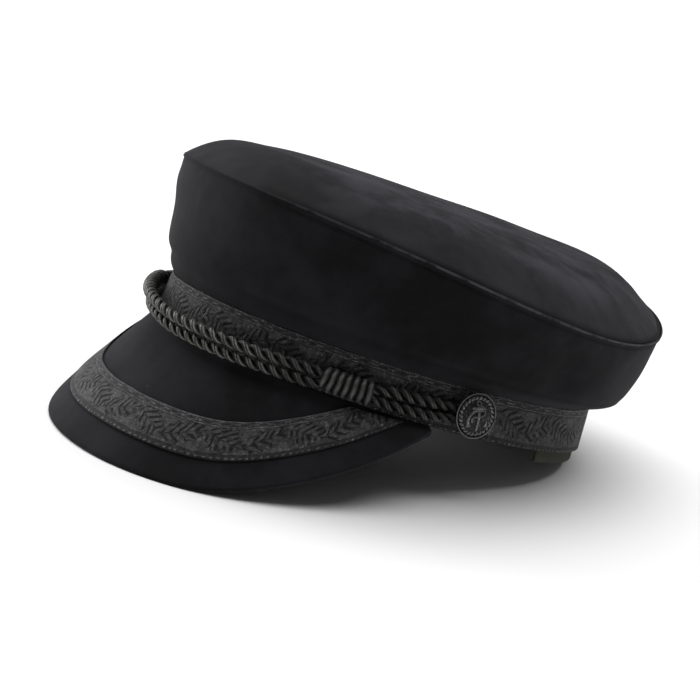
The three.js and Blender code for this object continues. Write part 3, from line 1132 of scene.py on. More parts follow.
class Bench:
    """The modelling steps that the pieces share."""

    @staticmethod
    def clear() -> None:
        """Leaves nothing selected."""
        bpy.ops.object.select_all(action="DESELECT")

    @staticmethod
    def take(*objects: Body) -> None:
        """Selects only some objects, the first of them active.

        Args:
            objects: the objects.
        """
        Bench.clear()
        for each in objects:
            each.select_set(True)
        bpy.context.view_layer.objects.active = objects[0]

    @staticmethod
    def edit(*steps: Callable[[], Any]) -> None:
        """Runs steps in edit mode, each on the whole active mesh.

        Args:
            steps: the steps, in their order.
        """
        bpy.ops.object.mode_set(mode="EDIT")
        for step in steps:
            bpy.ops.mesh.select_all(action="SELECT")
            step()
        bpy.ops.object.mode_set(mode="OBJECT")

    @staticmethod
    def face_out() -> None:
        """Turns the selected faces outwards, in edit mode."""
        bpy.ops.mesh.normals_make_consistent(inside=False)

    @staticmethod
    def fill() -> None:
        """Fills the holes in what is selected, in edit mode."""
        bpy.ops.mesh.fill_holes(sides=0)

    @staticmethod
    def named(name: str) -> Body:
        """Names the primitive just added, and its mesh.

        Args:
            name: the new name.

        Returns:
            The object.
        """
        made = bpy.context.active_object
        made.name = name
        made.data.name = name
        return made

    @staticmethod
    def sheet(name: str, across: int, down: int, surface: Surface, stand: Stand = STANCE.stand) -> Body:
        """Draws a grid over a surface, and closes it where its edges meet.

        Args:
            name: the new object's name.
            across: faces along the first way.
            down: faces along the second way.
            surface: gives points and map places for two rows of numbers from 0 to 1.
            stand: puts the points in their place, at first from the hat's frame.

        Returns:
            The object, with its faces pointing outwards.
        """
        Bench.clear()
        bpy.ops.mesh.primitive_grid_add(x_subdivisions=across, y_subdivisions=down, size=1, calc_uvs=True)
        made = Bench.named(name)
        mesh = made.data
        flat = np.empty(len(mesh.vertices) * 3, np.float32)
        mesh.vertices.foreach_get("co", flat)
        first, second = held(flat.reshape(-1, 3)[:, :2].T.astype(float) + 0.5)
        points, run = surface(first, second)
        mesh.vertices.foreach_set("co", stand(points).astype(np.float32).ravel())
        corners = np.empty(len(mesh.loops), np.int32)
        mesh.loops.foreach_get("vertex_index", corners)
        layer = mesh.uv_layers.active
        layer.name = RUN_MAP
        layer.uv.foreach_set("vector", run[corners].astype(np.float32).ravel())
        mesh.update()
        Bench.edit(lambda: bpy.ops.mesh.remove_doubles(threshold=MERGE_WITHIN), Bench.face_out)
        return made

    @staticmethod
    def close_ends(target: Body) -> None:
        """Fills the open ends of a tube."""
        Bench.take(target)
        Bench.edit(Bench.fill, Bench.face_out)

    @staticmethod
    def modify(target: Body, kind: str, **settings: Any) -> None:
        """Adds a modifier and applies it.

        Args:
            target: the piece.
            kind: the modifier's type.
            **settings: its properties.
        """
        Bench.take(target)
        modifier = target.modifiers.new(kind.lower(), kind)
        for key, value in settings.items():
            setattr(modifier, key, value)
        bpy.ops.object.modifier_apply(modifier=modifier.name)

    @staticmethod
    def thicken(target: Body, wall: float) -> None:
        """Gives a shell a wall, inwards from its face."""
        Bench.modify(target, "SOLIDIFY", thickness=wall * METRES, offset=-1, use_even_offset=True)

    @staticmethod
    def round_edges(target: Body, width: float) -> None:
        """Bevels a mesh's sharp edges by a width in millimetres."""
        Bench.modify(target, "BEVEL", width=width * METRES, segments=2, limit_method="ANGLE")

    @staticmethod
    def shade(target: Body, crisp: float = ALL_SMOOTH) -> None:
        """Shades a mesh smooth.

        Args:
            target: the object.
            crisp: edges sharper than this many degrees stay crisp.
        """
        Bench.take(target)
        if crisp >= ALL_SMOOTH:
            bpy.ops.object.shade_smooth()
        else:
            bpy.ops.object.shade_smooth_by_angle(angle=math.radians(crisp))

    @staticmethod
    def join(name: str, *objects: Body) -> Body:
        """Makes one object of several.

        Args:
            name: the new name.
            objects: the objects, all used up.

        Returns:
            The object.
        """
        Bench.take(*objects)
        bpy.ops.object.join()
        return Bench.named(name)

    @staticmethod
    def copy(source: Body, matrix: Matrix) -> Body:
        """Copies an object, its mesh too.

        Args:
            source: the object.
            matrix: moves the copy's mesh.

        Returns:
            The copy.
        """
        twin = source.copy()
        twin.data = source.data.copy()
        twin.data.transform(matrix)
        bpy.context.scene.collection.objects.link(twin)
        return twin

    @staticmethod
    def settle(target: Body, slot: Slot, node: str, *finishes: Material) -> Body:
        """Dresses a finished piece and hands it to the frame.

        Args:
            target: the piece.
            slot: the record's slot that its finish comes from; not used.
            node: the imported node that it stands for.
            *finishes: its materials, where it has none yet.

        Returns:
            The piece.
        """
        for finish in finishes:
            target.data.materials.append(finish)
        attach(target, BODY)
        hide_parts(node)
        LOG.info("%s: %d faces", target.name, len(target.data.polygons))
        return target


def tube(name: str, path: Array, radius: Array, out: Array, sides: int, stand: Stand = STANCE.stand) -> Body:
    """Draws a round tube along a path.

    Args:
        name: the new object's name.
        path: the path's points.
        radius: the tube's radius at each point.
        out: a direction at each point that isn't along the path, from which the tube's seam is laid.
        sides: faces round the tube.
        stand: puts the path in its place, at first from the hat's frame.

    Returns:
        The tube, closed at both ends, with a map in millimetres along and round it.
    """
    ahead = unit(np.gradient(path, axis=0))
    level = unit(out - ahead * np.sum(out * ahead, axis=1, keepdims=True))
    beside = np.cross(ahead, level)
    length = lengths(path)
    count = len(path) - 1

    def surface(first: Array, second: Array) -> Skin:
        """The tube's skin.

        Args:
            first: the way along it.
            second: the way round it.

        Returns:
            The points and their places on the map.
        """
        at = np.rint(first * count).astype(int)
        turn = (second % 1)[:, None] * math.tau
        ring = level[at] * np.cos(turn) + beside[at] * np.sin(turn)
        run = columns(length[at], second * math.tau * radius.max())
        return path[at] + ring * radius[at][:, None], run

    made = Bench.sheet(name, count, sides, surface, stand)
    Bench.close_ends(made)
    return made


class SheetPiece:
    """A piece drawn as one sheet: each kind has its own names, faces each way, surface and work."""

    name: str
    node: str
    slot: Slot
    crisp = ALL_SMOOTH
    across: int
    down: int

    def surface(self, first: Array, second: Array) -> Skin:
        """The piece's skin: points in the hat's frame and their places on the map."""
        raise NotImplementedError

    def work(self, made: Body) -> None:
        """Works the sheet into the finished mesh."""
        raise NotImplementedError

    def build(self, *finishes: Material) -> Body:
        """Models the piece and dresses it.

        Args:
            *finishes: its materials.

        Returns:
            The piece.
        """
        made = Bench.sheet(self.name, self.across, self.down, self.surface)
        self.work(made)
        Bench.shade(made, self.crisp)
        return Bench.settle(made, self.slot, self.node, *finishes)


# ---------------------------------------------------------------- the crown


@dataclass
class CrownSide(SheetPiece):
    """The tall side wall of the crown, puffed out over the band, with its top edge rolled at the seam.

    Each tuck over the band is a depth, the angle of its middle and its span.
    """

    name = "crown_side_cloth"
    node = "crown_side"
    slot = Slot.CLOTH
    across = 300
    down = 96
    shape: CrownShape = CROWN
    wall: float = 1.5
    height: float = 46.0
    foot_tuck: float = 0.6
    foot_sink: float = 0.7
    foot_share: float = 0.022
    ridge: float = 0.5
    ridge_span: float = 0.016
    groove: float = 0.45
    groove_drop: float = 0.045
    groove_span: float = 0.018
    inset: float = 0.35
    inset_from: float = 0.8
    inset_span: float = 0.2
    roll_radius: float = 0.5
    roll_least: float = 0.45
    roll_turn: float = 140.0
    roll_share: float = 0.06
    tuck_rise: float = 0.13
    tuck_span: float = 0.075
    tuck_least: float = 0.7
    tucks: tuple[Triple, ...] = ((1.2, -18, 34), (1.1, 28, 26), (0.9, 72, 16), (0.3, 200, 50))

    def surface(self, first: Array, second: Array) -> Skin:
        """The outer face, from under the band's top edge to the end of the roll over the seam.

        Args:
            first: the way round the crown.
            second: the way up it.

        Returns:
            The points and their places on the map.
        """
        angle = first * 360
        up = second / (1 - self.roll_share)
        rise = held(up)
        out = self.shape.facing(self.shape.side, angle, rise)
        crisp = self.shape.crispness(angle)
        push = self.ridge * crisp * bell((1 - rise) / self.ridge_span)
        push = push - self.inset * smooth((rise - self.inset_from) / self.inset_span)
        push = push - self.groove * crisp * bell((1 - rise - self.groove_drop) / self.groove_span)
        push = push - self.tuck_depth(angle) * bell((rise - self.tuck_rise) / self.tuck_span)
        tucked = 1 - smooth(rise / self.foot_share)
        inward = -self.shape.oval.outward(angle) * (self.foot_tuck * tucked)[:, None]
        point = self.shape.side(angle, rise) + out * push[:, None] + inward
        point[:, 2] -= self.foot_sink * tucked
        turn = np.radians(held((up - 1) * (1 - self.roll_share) / self.roll_share) * self.roll_turn)
        rising = unit(np.cross(out, self.along(angle)))
        roll = rising * np.sin(turn)[:, None] - out * (1 - np.cos(turn))[:, None]
        run = columns(first * self.shape.girth, second * self.height)
        return point + roll * (self.roll_radius * grown(self.roll_least, crisp))[:, None], run

    def along(self, angle: Array) -> Array:
        """The way of the seam round the crown."""
        near = self.shape.near_turn
        return unit(self.shape.seam(angle + near) - self.shape.seam(angle - near))

    def tuck_depth(self, angle: Array) -> Array:
        """How deep the soft tuck a little over the band is, deepest at the front."""
        return self.tuck_least + sum(depth * bell(aside(angle, at) / span) for depth, at, span in self.tucks)

    def work(self, made: Body) -> None:
        """Gives the sheet its wall."""
        Bench.thicken(made, self.wall)


@dataclass
class CrownTop(SheetPiece):
    """The oval top panel, domed like a slack pillow, tucked under the side wall's rolled edge."""

    name = "crown_top_cloth"
    node = "crown_top"
    slot = Slot.CLOTH
    across = 288
    down = 96
    shape: CrownShape = CROWN
    wall: float = 1.5
    crowding: float = 0.9
    centre: float = 0.02
    tuck: float = 1.4
    tuck_span: float = 0.018
    slack: float = 1.3
    slack_span: float = 0.085
    pucker: float = 0.12
    pucker_waves: tuple[int, int, float] = (31, 7, 40)
    pucker_drop: float = 0.03
    pucker_span: float = 0.045

    def surface(self, first: Array, second: Array) -> Skin:
        """The outer face, from its middle to the seam.

        Args:
            first: the way round the crown.
            second: the way out from its middle.

        Returns:
            The points and their places on the map.
        """
        angle = first * 360
        spread = np.sin(second * np.pi / 2) ** self.crowding
        facing = -self.shape.facing(self.shape.top, angle, np.maximum(spread, self.centre / 2))
        facing[spread < self.centre] = (0, 0, 1)
        dip = self.tuck * bell((1 - spread) / self.tuck_span)
        dip = dip + self.slack * bell((1 - spread - self.slack_span) / self.slack_span)
        gather = bell((1 - spread - self.pucker_drop) / self.pucker_span) * uneven(angle, *self.pucker_waves)
        push = self.pucker * gather - self.shape.crispness(angle) * dip
        point = self.shape.top(angle, spread) + facing * push[:, None]
        return point, point[:, :2]

    def work(self, made: Body) -> None:
        """Gives the sheet its wall."""
        Bench.thicken(made, self.wall)


# ---------------------------------------------------------------- the band, the visor and the strip


@dataclass
class HeadBand(SheetPiece):
    """The stiff head band: jacquard braid outside and twill inside, which are its two materials in turn."""

    name = "head_band_braid"
    node = "head_band"
    slot = Slot.BRAID
    crisp = 50.0
    across = 300
    down = 32
    oval: HeadOval = OVAL
    wall: float = 1.8
    edge: float = 0.35
    girth: float = 583.0
    ripple: float = 0.16
    ripple_waves: tuple[int, int, float] = (17, 5, 30)

    def surface(self, first: Array, second: Array) -> Skin:
        """The band's skin.

        Args:
            first: the way round the band.
            second: the way round its section.

        Returns:
            The points and their places on the map.
        """
        angle = first * 360
        out, height = wall_section(second, 0.0, -self.wall, 0.0, self.oval.height)
        wave = uneven(angle, *self.ripple_waves) * self.ripple
        out = out + wave * np.cos(height / self.oval.height * math.pi)
        return self.oval.point(angle, out, height), columns(first * self.girth, height)

    def work(self, made: Body) -> None:
        """Rounds the band's edges, and sets its second material on the faces that look inwards.

        Args:
            made: the band.
        """
        Bench.round_edges(made, self.edge)
        middle = STANCE.matrix() @ Vector((0, 0, self.oval.height / 2))
        for face in made.data.polygons:
            away = (face.center - middle) * Vector((1, 1, 0))
            face.material_index = int(face.normal.dot(away) < 0)


@dataclass
class Visor(SheetPiece):
    """The stiff visor, covered in twill on both faces and round its edge.

    Each of its root's stages is a pace and a wait, with which the section is drawn to its next corner.
    """

    name = "visor_cloth"
    node = "visor"
    slot = Slot.CLOTH
    crisp = 60.0
    across = 220
    down = 110
    shape: VisorShape = VISOR
    face_share: float = 0.42
    edge_share: float = 0.14
    under_share: float = 0.38
    root_rise: float = 0.08
    root_out: float = 0.4
    root_stages: tuple[Pair, ...] = ((4.0, 0.0), (2.5, 1.0), (5.0, 4.0))
    map_size: Pair = (240.0, 150.0)

    def surface(self, first: Array, second: Array) -> Skin:
        """The visor's skin: down its upper face, round its edge, up its lower face and along its root.

        Args:
            first: the way across the visor, from the wearer's right.
            second: the way round its section.

        Returns:
            The points and their places on the map.
        """
        shape = self.shape
        angle = (first * 2 - 1) * shape.built_span
        half = shape.wall / 2
        straight = shape.reach_at(angle) - half
        drop = shape.drop_at(angle)
        root_end = (shape.wall * np.sin(drop) - shape.root_out - shape.root_in) / np.cos(drop)
        face_end = self.face_share
        edge_end = face_end + self.edge_share
        under_end = edge_end + self.under_share
        turn = np.pi / 2 - np.pi * held((second - face_end) / self.edge_share)
        going = straight * held(second / face_end)
        coming = (root_end - straight) * held((second - edge_end) / self.under_share)
        point = shape.point(angle, going + half * np.cos(turn) + coming, half * np.sin(turn) - half)
        rooted = held((second - under_end) / (1 - under_end))
        inner = shape.oval.point(angle, -shape.root_in, self.root_rise)
        outer = shape.oval.point(angle, self.root_out, self.root_rise)
        top_root = shape.point(angle, 0 * angle, 0 * angle)
        for (pace, wait), target in zip(self.root_stages, (inner, outer, top_root)):
            part = held(rooted * pace - wait)[:, None]
            point = point * (1 - part) + target * part
        across, down = self.map_size
        return point, columns(first * across, second * down)

    def work(self, made: Body) -> None:
        """Closes the two ends."""
        Bench.close_ends(made)


class RibbonCorner(NamedTuple):
    """A corner of the ribbon's section: the way round, the share of the width and of the thickness."""

    way: float
    width: float
    thickness: float


RIBBON_SECTION = (
    RibbonCorner(0.0, 0.0, 0.5),
    RibbonCorner(0.03, 0.0, 0.8),
    RibbonCorner(0.06, 0.03, 1.0),
    RibbonCorner(0.44, 0.97, 1.0),
    RibbonCorner(0.47, 1.0, 0.8),
    RibbonCorner(0.5, 1.0, 0.5),
    RibbonCorner(0.53, 0.97, 0.0),
    RibbonCorner(0.97, 0.03, 0.0),
    RibbonCorner(1.0, 0.0, 0.5),
)


@dataclass
class VisorRibbon(SheetPiece):
    """The jacquard braid sewn along the visor, a constant distance in from its edge."""

    name = "visor_braid"
    node = "visor_ribbon"
    slot = Slot.BRAID
    crisp = 60.0
    across = 260
    down = 48
    shape: VisorShape = VISOR
    width: float = 17.8
    thickness: float = 0.8
    lift: float = 0.15
    from_edge: float = 13.2
    from_root: float = 1.5
    half_span: float = 66.0
    measured_in: int = 200

    def surface(self, first: Array, second: Array) -> Skin:
        """The ribbon's skin: from its outer edge over the top to the inner edge, and back beneath.

        Args:
            first: the way along the ribbon, from the wearer's right.
            second: the way round its section.

        Returns:
            The points and their places on the map.
        """
        angle = (first * 2 - 1) * self.half_span
        outer = self.shape.reach_at(angle) - self.from_edge
        inner = np.clip(outer - self.width, self.from_root, outer)
        way, width, thickness = np.array(RIBBON_SECTION).T
        distance = outer + (inner - outer) * np.interp(second, way, width)
        lift = self.lift + self.thickness * np.interp(second, way, thickness)
        return self.shape.point(angle, distance, lift), columns(self.edge_length(angle), outer - distance)

    def edge_length(self, angle: Array) -> Array:
        """Measures along the ribbon's middle from its right end.

        Args:
            angle: the places round the band, in degrees.

        Returns:
            The lengths up to them.
        """
        steps = np.linspace(-self.half_span, self.half_span, self.measured_in)
        middle = self.shape.reach_at(steps) - self.from_edge - self.width / 2
        points = self.shape.point(steps, np.maximum(middle, self.from_root), 0 * steps)
        return np.interp(angle, steps, lengths(points))

    def work(self, made: Body) -> None:
        """Closes the two ends."""
        Bench.close_ends(made)


@dataclass
class RearStrip(SheetPiece):
    """The webbing strip sewn inside the back of the band, which hangs a little below it."""

    name = "rear_strip_webbing"
    node = "rear_strip"
    slot = Slot.WEBBING
    crisp = 50.0
    across = 160
    down = 36
    oval: HeadOval = OVAL
    from_angle: float = 109.0
    to_angle: float = 251.0
    hang: float = 5.2
    top: float = 12.0
    inset: float = 2.1
    wall: float = 1.4
    edge: float = 0.3
    length: float = 240.0

    def surface(self, first: Array, second: Array) -> Skin:
        """The strip's skin.

        Args:
            first: the way along the strip.
            second: the way round its section.

        Returns:
            The points and their places on the map.
        """
        angle = self.from_angle + (self.to_angle - self.from_angle) * first
        out, height = wall_section(second, -self.inset, -self.inset - self.wall, -self.hang, self.top)
        return self.oval.point(angle, out, height), columns(first * self.length, height)

    def work(self, made: Body) -> None:
        """Closes the two ends and rounds the edges."""
        Bench.close_ends(made)
        Bench.round_edges(made, self.edge)


# ---------------------------------------------------------------- the twin cord and its knots


@dataclass
class TwinCord:
    """Two strands of two-ply twisted cord, from button to button."""

    route: CordRoute = ROUTE
    plies: int = 2
    lay: float = 10.2
    steps: int = 560
    sides: int = 12
    ply_share: float = 0.5
    crest_radius: float = 1.25

    def strand(self, name: str, side: int) -> Body:
        """Winds one strand.

        Args:
            name: the strand's name.
            side: 1 for the upper strand and -1 for the lower one.

        Returns:
            The strand, all its plies in one mesh.
        """
        end = self.route.rows[-1].angle
        angle = np.linspace(-end, end, self.steps + 1)
        centre, radius = self.route.centre(angle, side)
        ahead = unit(np.gradient(centre, axis=0))
        out = self.route.oval.outward(angle)
        up = np.cross(ahead, out)
        turns = lengths(centre) / self.lay
        ply_radius = radius * self.ply_share
        made = []
        for ply in range(self.plies):
            turn = math.tau * (ply / self.plies + turns)[:, None]
            away = out * np.cos(turn) + up * np.sin(turn)
            path = centre + away * (radius - ply_radius)[:, None]
            made.append(tube(f"{name}_ply", path, ply_radius, away, self.sides))
        return Bench.join(name, *made)

    def build(self, finish: Material) -> list[Body]:
        """Winds both strands and dresses them.

        Args:
            finish: their material.

        Returns:
            The two pieces.
        """
        strands = []
        for name, side in (("upper", 1), ("lower", -1)):
            made = self.strand(f"{name}_twisted_cord", side)
            Bench.shade(made)
            strands.append(Bench.settle(made, Slot.CORD, f"cord_{name}", finish))
        return strands


@dataclass
class WhippingKnot:
    """Turns of cord wound side by side around both strands, their ends tucked inside."""

    side: Side
    route: CordRoute = ROUTE
    angle: float = 51.5
    half_span: float = 6.6
    wraps: int = 7
    half_height: float = 5.0
    half_depth: float = 3.7
    first_lean: float = 0.10
    last_lean: float = -0.50
    cord_radius: float = 1.5
    tuck_turns: float = 0.22
    tucked_depth: float = 0.45
    tucked_height: float = 0.55
    tucked_radius: float = 0.7
    steps_a_turn: int = 40
    sides: int = 12

    def path(self) -> tuple[Array, Array, Array]:
        """Winds the knot's cord.

        Returns:
            Its middle line, its radius and the way out of the knot.
        """
        turns = np.linspace(0, self.wraps, self.wraps * self.steps_a_turn + 1)
        turn = turns * math.tau - math.pi / 2
        place = (turns / self.wraps * 2 - 1) * (1 - 0.5 / self.wraps)
        tucked = smooth(np.minimum(turns, self.wraps - turns) / self.tuck_turns)
        lean = np.interp(place, [-1, 1], [self.first_lean, self.last_lean])
        middle = np.full_like(turns, float(self.side.value) * self.angle)
        angle = middle + self.side.value * (self.half_span * place + lean * np.sin(turn))
        height, out = self.route.middle(middle)
        deep = (self.half_depth - self.cord_radius) * grown(self.tucked_depth, tucked)
        high = (self.half_height - self.cord_radius) * grown(self.tucked_height, tucked)
        oval = self.route.oval
        points = oval.point(angle, out + deep * np.cos(turn), height + high * np.sin(turn))
        radius = self.cord_radius * grown(self.tucked_radius, tucked)
        return points, radius, points - oval.point(angle, out, height)

    def build(self, finish: Material) -> Body:
        """Winds the knot and dresses it.

        Args:
            finish: its material.

        Returns:
            The piece.
        """
        side = self.side.name.lower()
        made = tube(f"{side}_whipping_knot", *self.path(), self.sides)
        Bench.shade(made)
        return Bench.settle(made, Slot.CORD, f"cord_knot_{side}", finish)


# ---------------------------------------------------------------- the buttons


@dataclass
class Anchor:
    """An anchor with a rope wound round it, flat on the plane Z = 0, its middle at the origin.

    The rope's route is a list of places from the ring down to the arms.
    """

    bar_radius: float = 0.52
    bar_sides: int = 12
    bar_cuts: int = 5
    shank_length: float = 10.2
    shank_middle: Pair = (0, -0.9)
    stock_length: float = 6.2
    stock_middle: Pair = (0, 3.3)
    ring_radius: float = 0.85
    ring_thickness: float = 0.3
    ring_place: float = 5.35
    arm_radius: float = 4.4
    arm_place: float = -1.7
    arm_start: float = -158.0
    arm_arc: float = 136.0
    arm_sides: int = 10
    arm_steps: int = 28
    fluke_radius: float = 1.15
    fluke_tip: float = 0.08
    fluke_length: float = 2.6
    fluke_flat: float = 0.6
    fluke_lean: float = -12.0
    fluke_lift: float = 0.4
    rope_radius: float = 0.36
    rope_sides: int = 8
    rope_lift: float = 0.25
    rope_steps: int = 57
    rope_slack: int = 13
    rope: tuple[Pair, ...] = (
        (0.2, 5.0), (1.9, 3.7), (2.9, 2.0), (2.4, 0.6), (0.0, -0.2), (-2.4, 0.1), (-3.2, -1.0), (-2.6, -2.4)
    )

    def ring(self) -> Body:
        """The ring at the anchor's top.

        Returns:
            The ring.
        """
        Bench.clear()
        bpy.ops.mesh.primitive_torus_add(
            major_radius=self.ring_radius,
            minor_radius=self.ring_thickness,
            major_segments=28,
            minor_segments=10,
            location=(0, self.ring_place, 0),
        )
        made = Bench.named("anchor_ring")
        bpy.ops.object.transform_apply(location=True)
        return made

    def bar(self, length: float, turn: float, middle: Pair) -> Body:
        """A round bar, lying flat.

        Args:
            length: its length.
            turn: its heading, 0 across the anchor.
            middle: the place of its middle.

        Returns:
            The bar.
        """
        Bench.clear()
        bpy.ops.mesh.primitive_cylinder_add(vertices=self.bar_sides, radius=self.bar_radius, depth=length)
        made = Bench.named("anchor_bar")
        Bench.edit(lambda: bpy.ops.mesh.subdivide(number_cuts=self.bar_cuts))
        lay = Matrix.Rotation(math.radians(turn), 4, "Z") @ Matrix.Rotation(math.pi / 2, 4, "Y")
        made.data.transform(Matrix.Translation((*middle, 0)) @ lay)
        return made

    def arms(self) -> Body:
        """The curved arms: a small ring spun through an arc.

        Returns:
            The arms, in one piece.
        """
        Bench.clear()
        bpy.ops.mesh.primitive_circle_add(vertices=self.arm_sides, radius=self.bar_radius)
        made = Bench.named("anchor_arms")
        start = Matrix.Rotation(math.radians(self.arm_start), 4, "Z")
        start = start @ Matrix.Translation((self.arm_radius, 0, 0)) @ Matrix.Rotation(math.pi / 2, 4, "X")
        made.data.transform(start)
        arc = {"steps": self.arm_steps, "angle": math.radians(self.arm_arc)}
        Bench.edit(
            lambda: bpy.ops.mesh.spin(**arc, center=(0, 0, 0), axis=(0, 0, 1)),
            Bench.fill,
            Bench.face_out,
        )
        made.data.transform(Matrix.Translation((0, self.arm_place, 0)))
        return made

    def fluke(self, way: Side) -> Body:
        """The pointed palm at the end of an arm.

        Args:
            way: the side that the arm is on.

        Returns:
            The palm.
        """
        Bench.clear()
        size = {"radius1": self.fluke_radius, "radius2": self.fluke_tip, "depth": self.fluke_length}
        bpy.ops.mesh.primitive_cone_add(vertices=self.bar_sides, **size)
        made = Bench.named("anchor_fluke")
        Bench.edit(lambda: bpy.ops.mesh.subdivide(number_cuts=1))
        end = math.radians(self.arm_start + self.arm_arc)
        x = self.arm_radius * math.cos(end) * way.value
        y = self.arm_radius * math.sin(end) + self.arm_place + self.fluke_lift
        lean = Matrix.Rotation(math.radians(self.fluke_lean * way.value), 4, "Z")
        point_up = Matrix.Rotation(-math.pi / 2, 4, "X") @ Matrix.Diagonal((1, self.fluke_flat, 1, 1))
        made.data.transform(Matrix.Translation((x, y, 0)) @ lean @ point_up)
        return made

    def wound_rope(self) -> Body:
        """The rope that hangs from the ring and winds round the shank, its corners eased.

        Returns:
            The rope.
        """
        fine = np.linspace(0, len(self.rope) - 1, self.rope_steps)
        kernel = np.hanning(self.rope_slack) / np.hanning(self.rope_slack).sum()
        eased = []
        for values in np.array(self.rope).T:
            drawn = np.interp(fine, np.arange(len(values)), values)
            padded = np.pad(drawn, self.rope_slack // 2, mode="edge")
            eased.append(np.convolve(padded, kernel, mode="valid"))
        path = columns(*eased, self.rope_lift)
        up = columns(0 * eased[0], 0, 1)
        radius = np.full(len(path), self.rope_radius)
        return tube("anchor_cable", path, radius, up, self.rope_sides, lambda points: points)

    def build(self) -> Body:
        """Makes the anchor.

        Returns:
            The anchor, in one mesh.
        """
        return Bench.join(
            "button_anchor",
            self.ring(),
            self.bar(self.shank_length, 90, self.shank_middle),
            self.bar(self.stock_length, 0, self.stock_middle),
            self.arms(),
            self.fluke(Side.LEFT),
            self.fluke(Side.RIGHT),
            self.wound_rope(),
        )


@dataclass
class Button:
    """A domed metal button with a raised rim, a rope border and a roped anchor, sewn on by its shank.

    The profiles are the radius and height of each ring, from the back to the front.
    """

    side: Side
    oval: HeadOval = OVAL
    angle: float = 81.5
    height: float = 9.4
    turn: float = 12.0
    sides: int = 96
    crisp: float = 40.0
    edge_height: float = 6.0
    dome_height: float = 2.1
    dome_radius: float = 8.0
    dome_rings: int = 12
    dome_step: float = 0.625
    tip: float = 0.05
    rim: tuple[Pair, ...] = (
        (8.6, 4.9), (9.1, 5.1), (9.3, 5.5), (9.3, 6.2), (9.22, 6.38), (9.05, 6.45),
        (8.85, 6.42), (8.7, 6.25), (8.62, 5.85), (8.5, 5.6), (8.2, 5.55), (8.0, 5.8),
    )
    rim_inner: float = 8.65
    rim_foot: float = 5.9
    shank: tuple[Pair, ...] = ((1.9, 0.3), (2.2, 0.6), (1.5, 1.6), (1.5, 4.1), (2.1, 5.1))
    beads: int = 26
    bead_ring: float = 7.3
    bead_size: Triple = (0.62, 1.12, 0.55)
    bead_slant: float = 38.0
    relief_lift: float = 0.1
    relief_share: float = 0.9

    def dome(self, reach: float) -> float:
        """The height of the domed face at a distance from its middle."""
        share = min(reach / self.dome_radius, 1)
        return self.edge_height + self.dome_height * (1 - share * share)

    def turned(self, name: str, profile: tuple[Pair, ...]) -> Body:
        """Turns a body on a lathe.

        Args:
            name: the new object's name.
            profile: radius and height of each ring, from the back to the front.

        Returns:
            The closed body, its axis along Z.
        """
        Bench.clear()
        radius, height = profile[0]
        bpy.ops.mesh.primitive_circle_add(
            vertices=self.sides, radius=radius, fill_type="NGON", location=(0, 0, height)
        )
        made = Bench.named(name)
        bpy.ops.object.transform_apply(location=True)
        bpy.ops.object.mode_set(mode="EDIT")
        bpy.ops.mesh.select_all(action="SELECT")
        for next_radius, next_height in profile[1:]:
            lift = {"value": (0, 0, next_height - height)}
            bpy.ops.mesh.extrude_region_move(TRANSFORM_OT_translate=lift)
            grow = next_radius / radius
            bpy.ops.transform.resize(value=(grow, grow, 1), center_override=(0, 0, 0))
            radius, height = next_radius, next_height
        bpy.ops.object.mode_set(mode="OBJECT")
        Bench.edit(Bench.face_out)
        return made

    def body(self) -> Body:
        """The back, the rim and the domed face.

        Returns:
            The three as one mesh.
        """
        reaches = [self.dome_radius - self.dome_step * i for i in range(1, self.dome_rings + 1)]
        face = [(reach, self.dome(reach)) for reach in reaches]
        return self.turned("button_body", (*self.rim, *face, (self.tip, self.dome(0))))

    def border(self) -> Body:
        """A ring of slanted oval beads, like a laid rope.

        Returns:
            The ring.
        """
        Bench.clear()
        bpy.ops.mesh.primitive_uv_sphere_add(segments=12, ring_count=8, radius=1)
        bead = Bench.named("button_bead")
        place = Matrix.Translation((self.bead_ring, 0, self.dome(self.bead_ring) + self.relief_lift))
        slant = Matrix.Rotation(math.radians(self.bead_slant), 4, "Z")
        bead.data.transform(place @ slant @ Matrix.Diagonal((*self.bead_size, 1)))
        turns = [math.tau * i / self.beads for i in range(1, self.beads)]
        others = [Bench.copy(bead, Matrix.Rotation(turn, 4, "Z")) for turn in turns]
        return Bench.join("button_border", bead, *others)

    def anchor(self) -> Body:
        """The anchor in low relief, laid on the domed face.

        Returns:
            The anchor.
        """
        made = Anchor().build()
        for vertex in made.data.vertices:
            rise = self.dome(math.hypot(vertex.co.x, vertex.co.y))
            vertex.co.z = vertex.co.z * self.relief_share + rise + self.relief_lift
        return made

    def place(self) -> Matrix:
        """Finds the button's seat on the band.

        Returns:
            The turn and shift to it from the button's own frame.
        """
        angle = np.array(self.side.value * self.angle)
        lean = self.oval.lean_in / self.oval.height
        facing = (Vector(self.oval.outward(angle)) + Vector((0, 0, lean))).normalized()
        along = Vector((0, 0, 1)).cross(facing).normalized()
        turn = Matrix((along, facing.cross(along), facing)).transposed().to_4x4()
        seat = STANCE.matrix() @ Matrix.Translation(self.oval.point(angle, 0, self.height))
        return seat @ turn @ Matrix.Rotation(math.radians(self.turn), 4, "Z")

    def build(self, field: Material, raised: Material) -> Body:
        """Models the button and dresses it.

        Args:
            field: the material of its field, its back and its shank.
            raised: the material of its rim and its relief.

        Returns:
            The piece.
        """
        side = self.side.name.lower()
        plain = [self.body(), self.turned("button_shank", self.shank)]
        relief = [self.border(), self.anchor()]
        for finish, parts in ((field, plain), (raised, relief)):
            for each in parts:
                each.data.materials.append(finish)
        made = Bench.join(f"{side}_anchor_button", *plain, *relief)
        for face in made.data.polygons:
            reach = math.hypot(face.center.x, face.center.y)
            if reach > self.rim_inner and face.center.z > self.rim_foot:
                face.material_index = made.data.materials.find(raised.name)
        Bench.shade(made, self.crisp)
        made.data.transform(self.place())
        return Bench.settle(made, Slot.METAL, f"button_{side}")


# ---------------------------------------------------------------- the studio


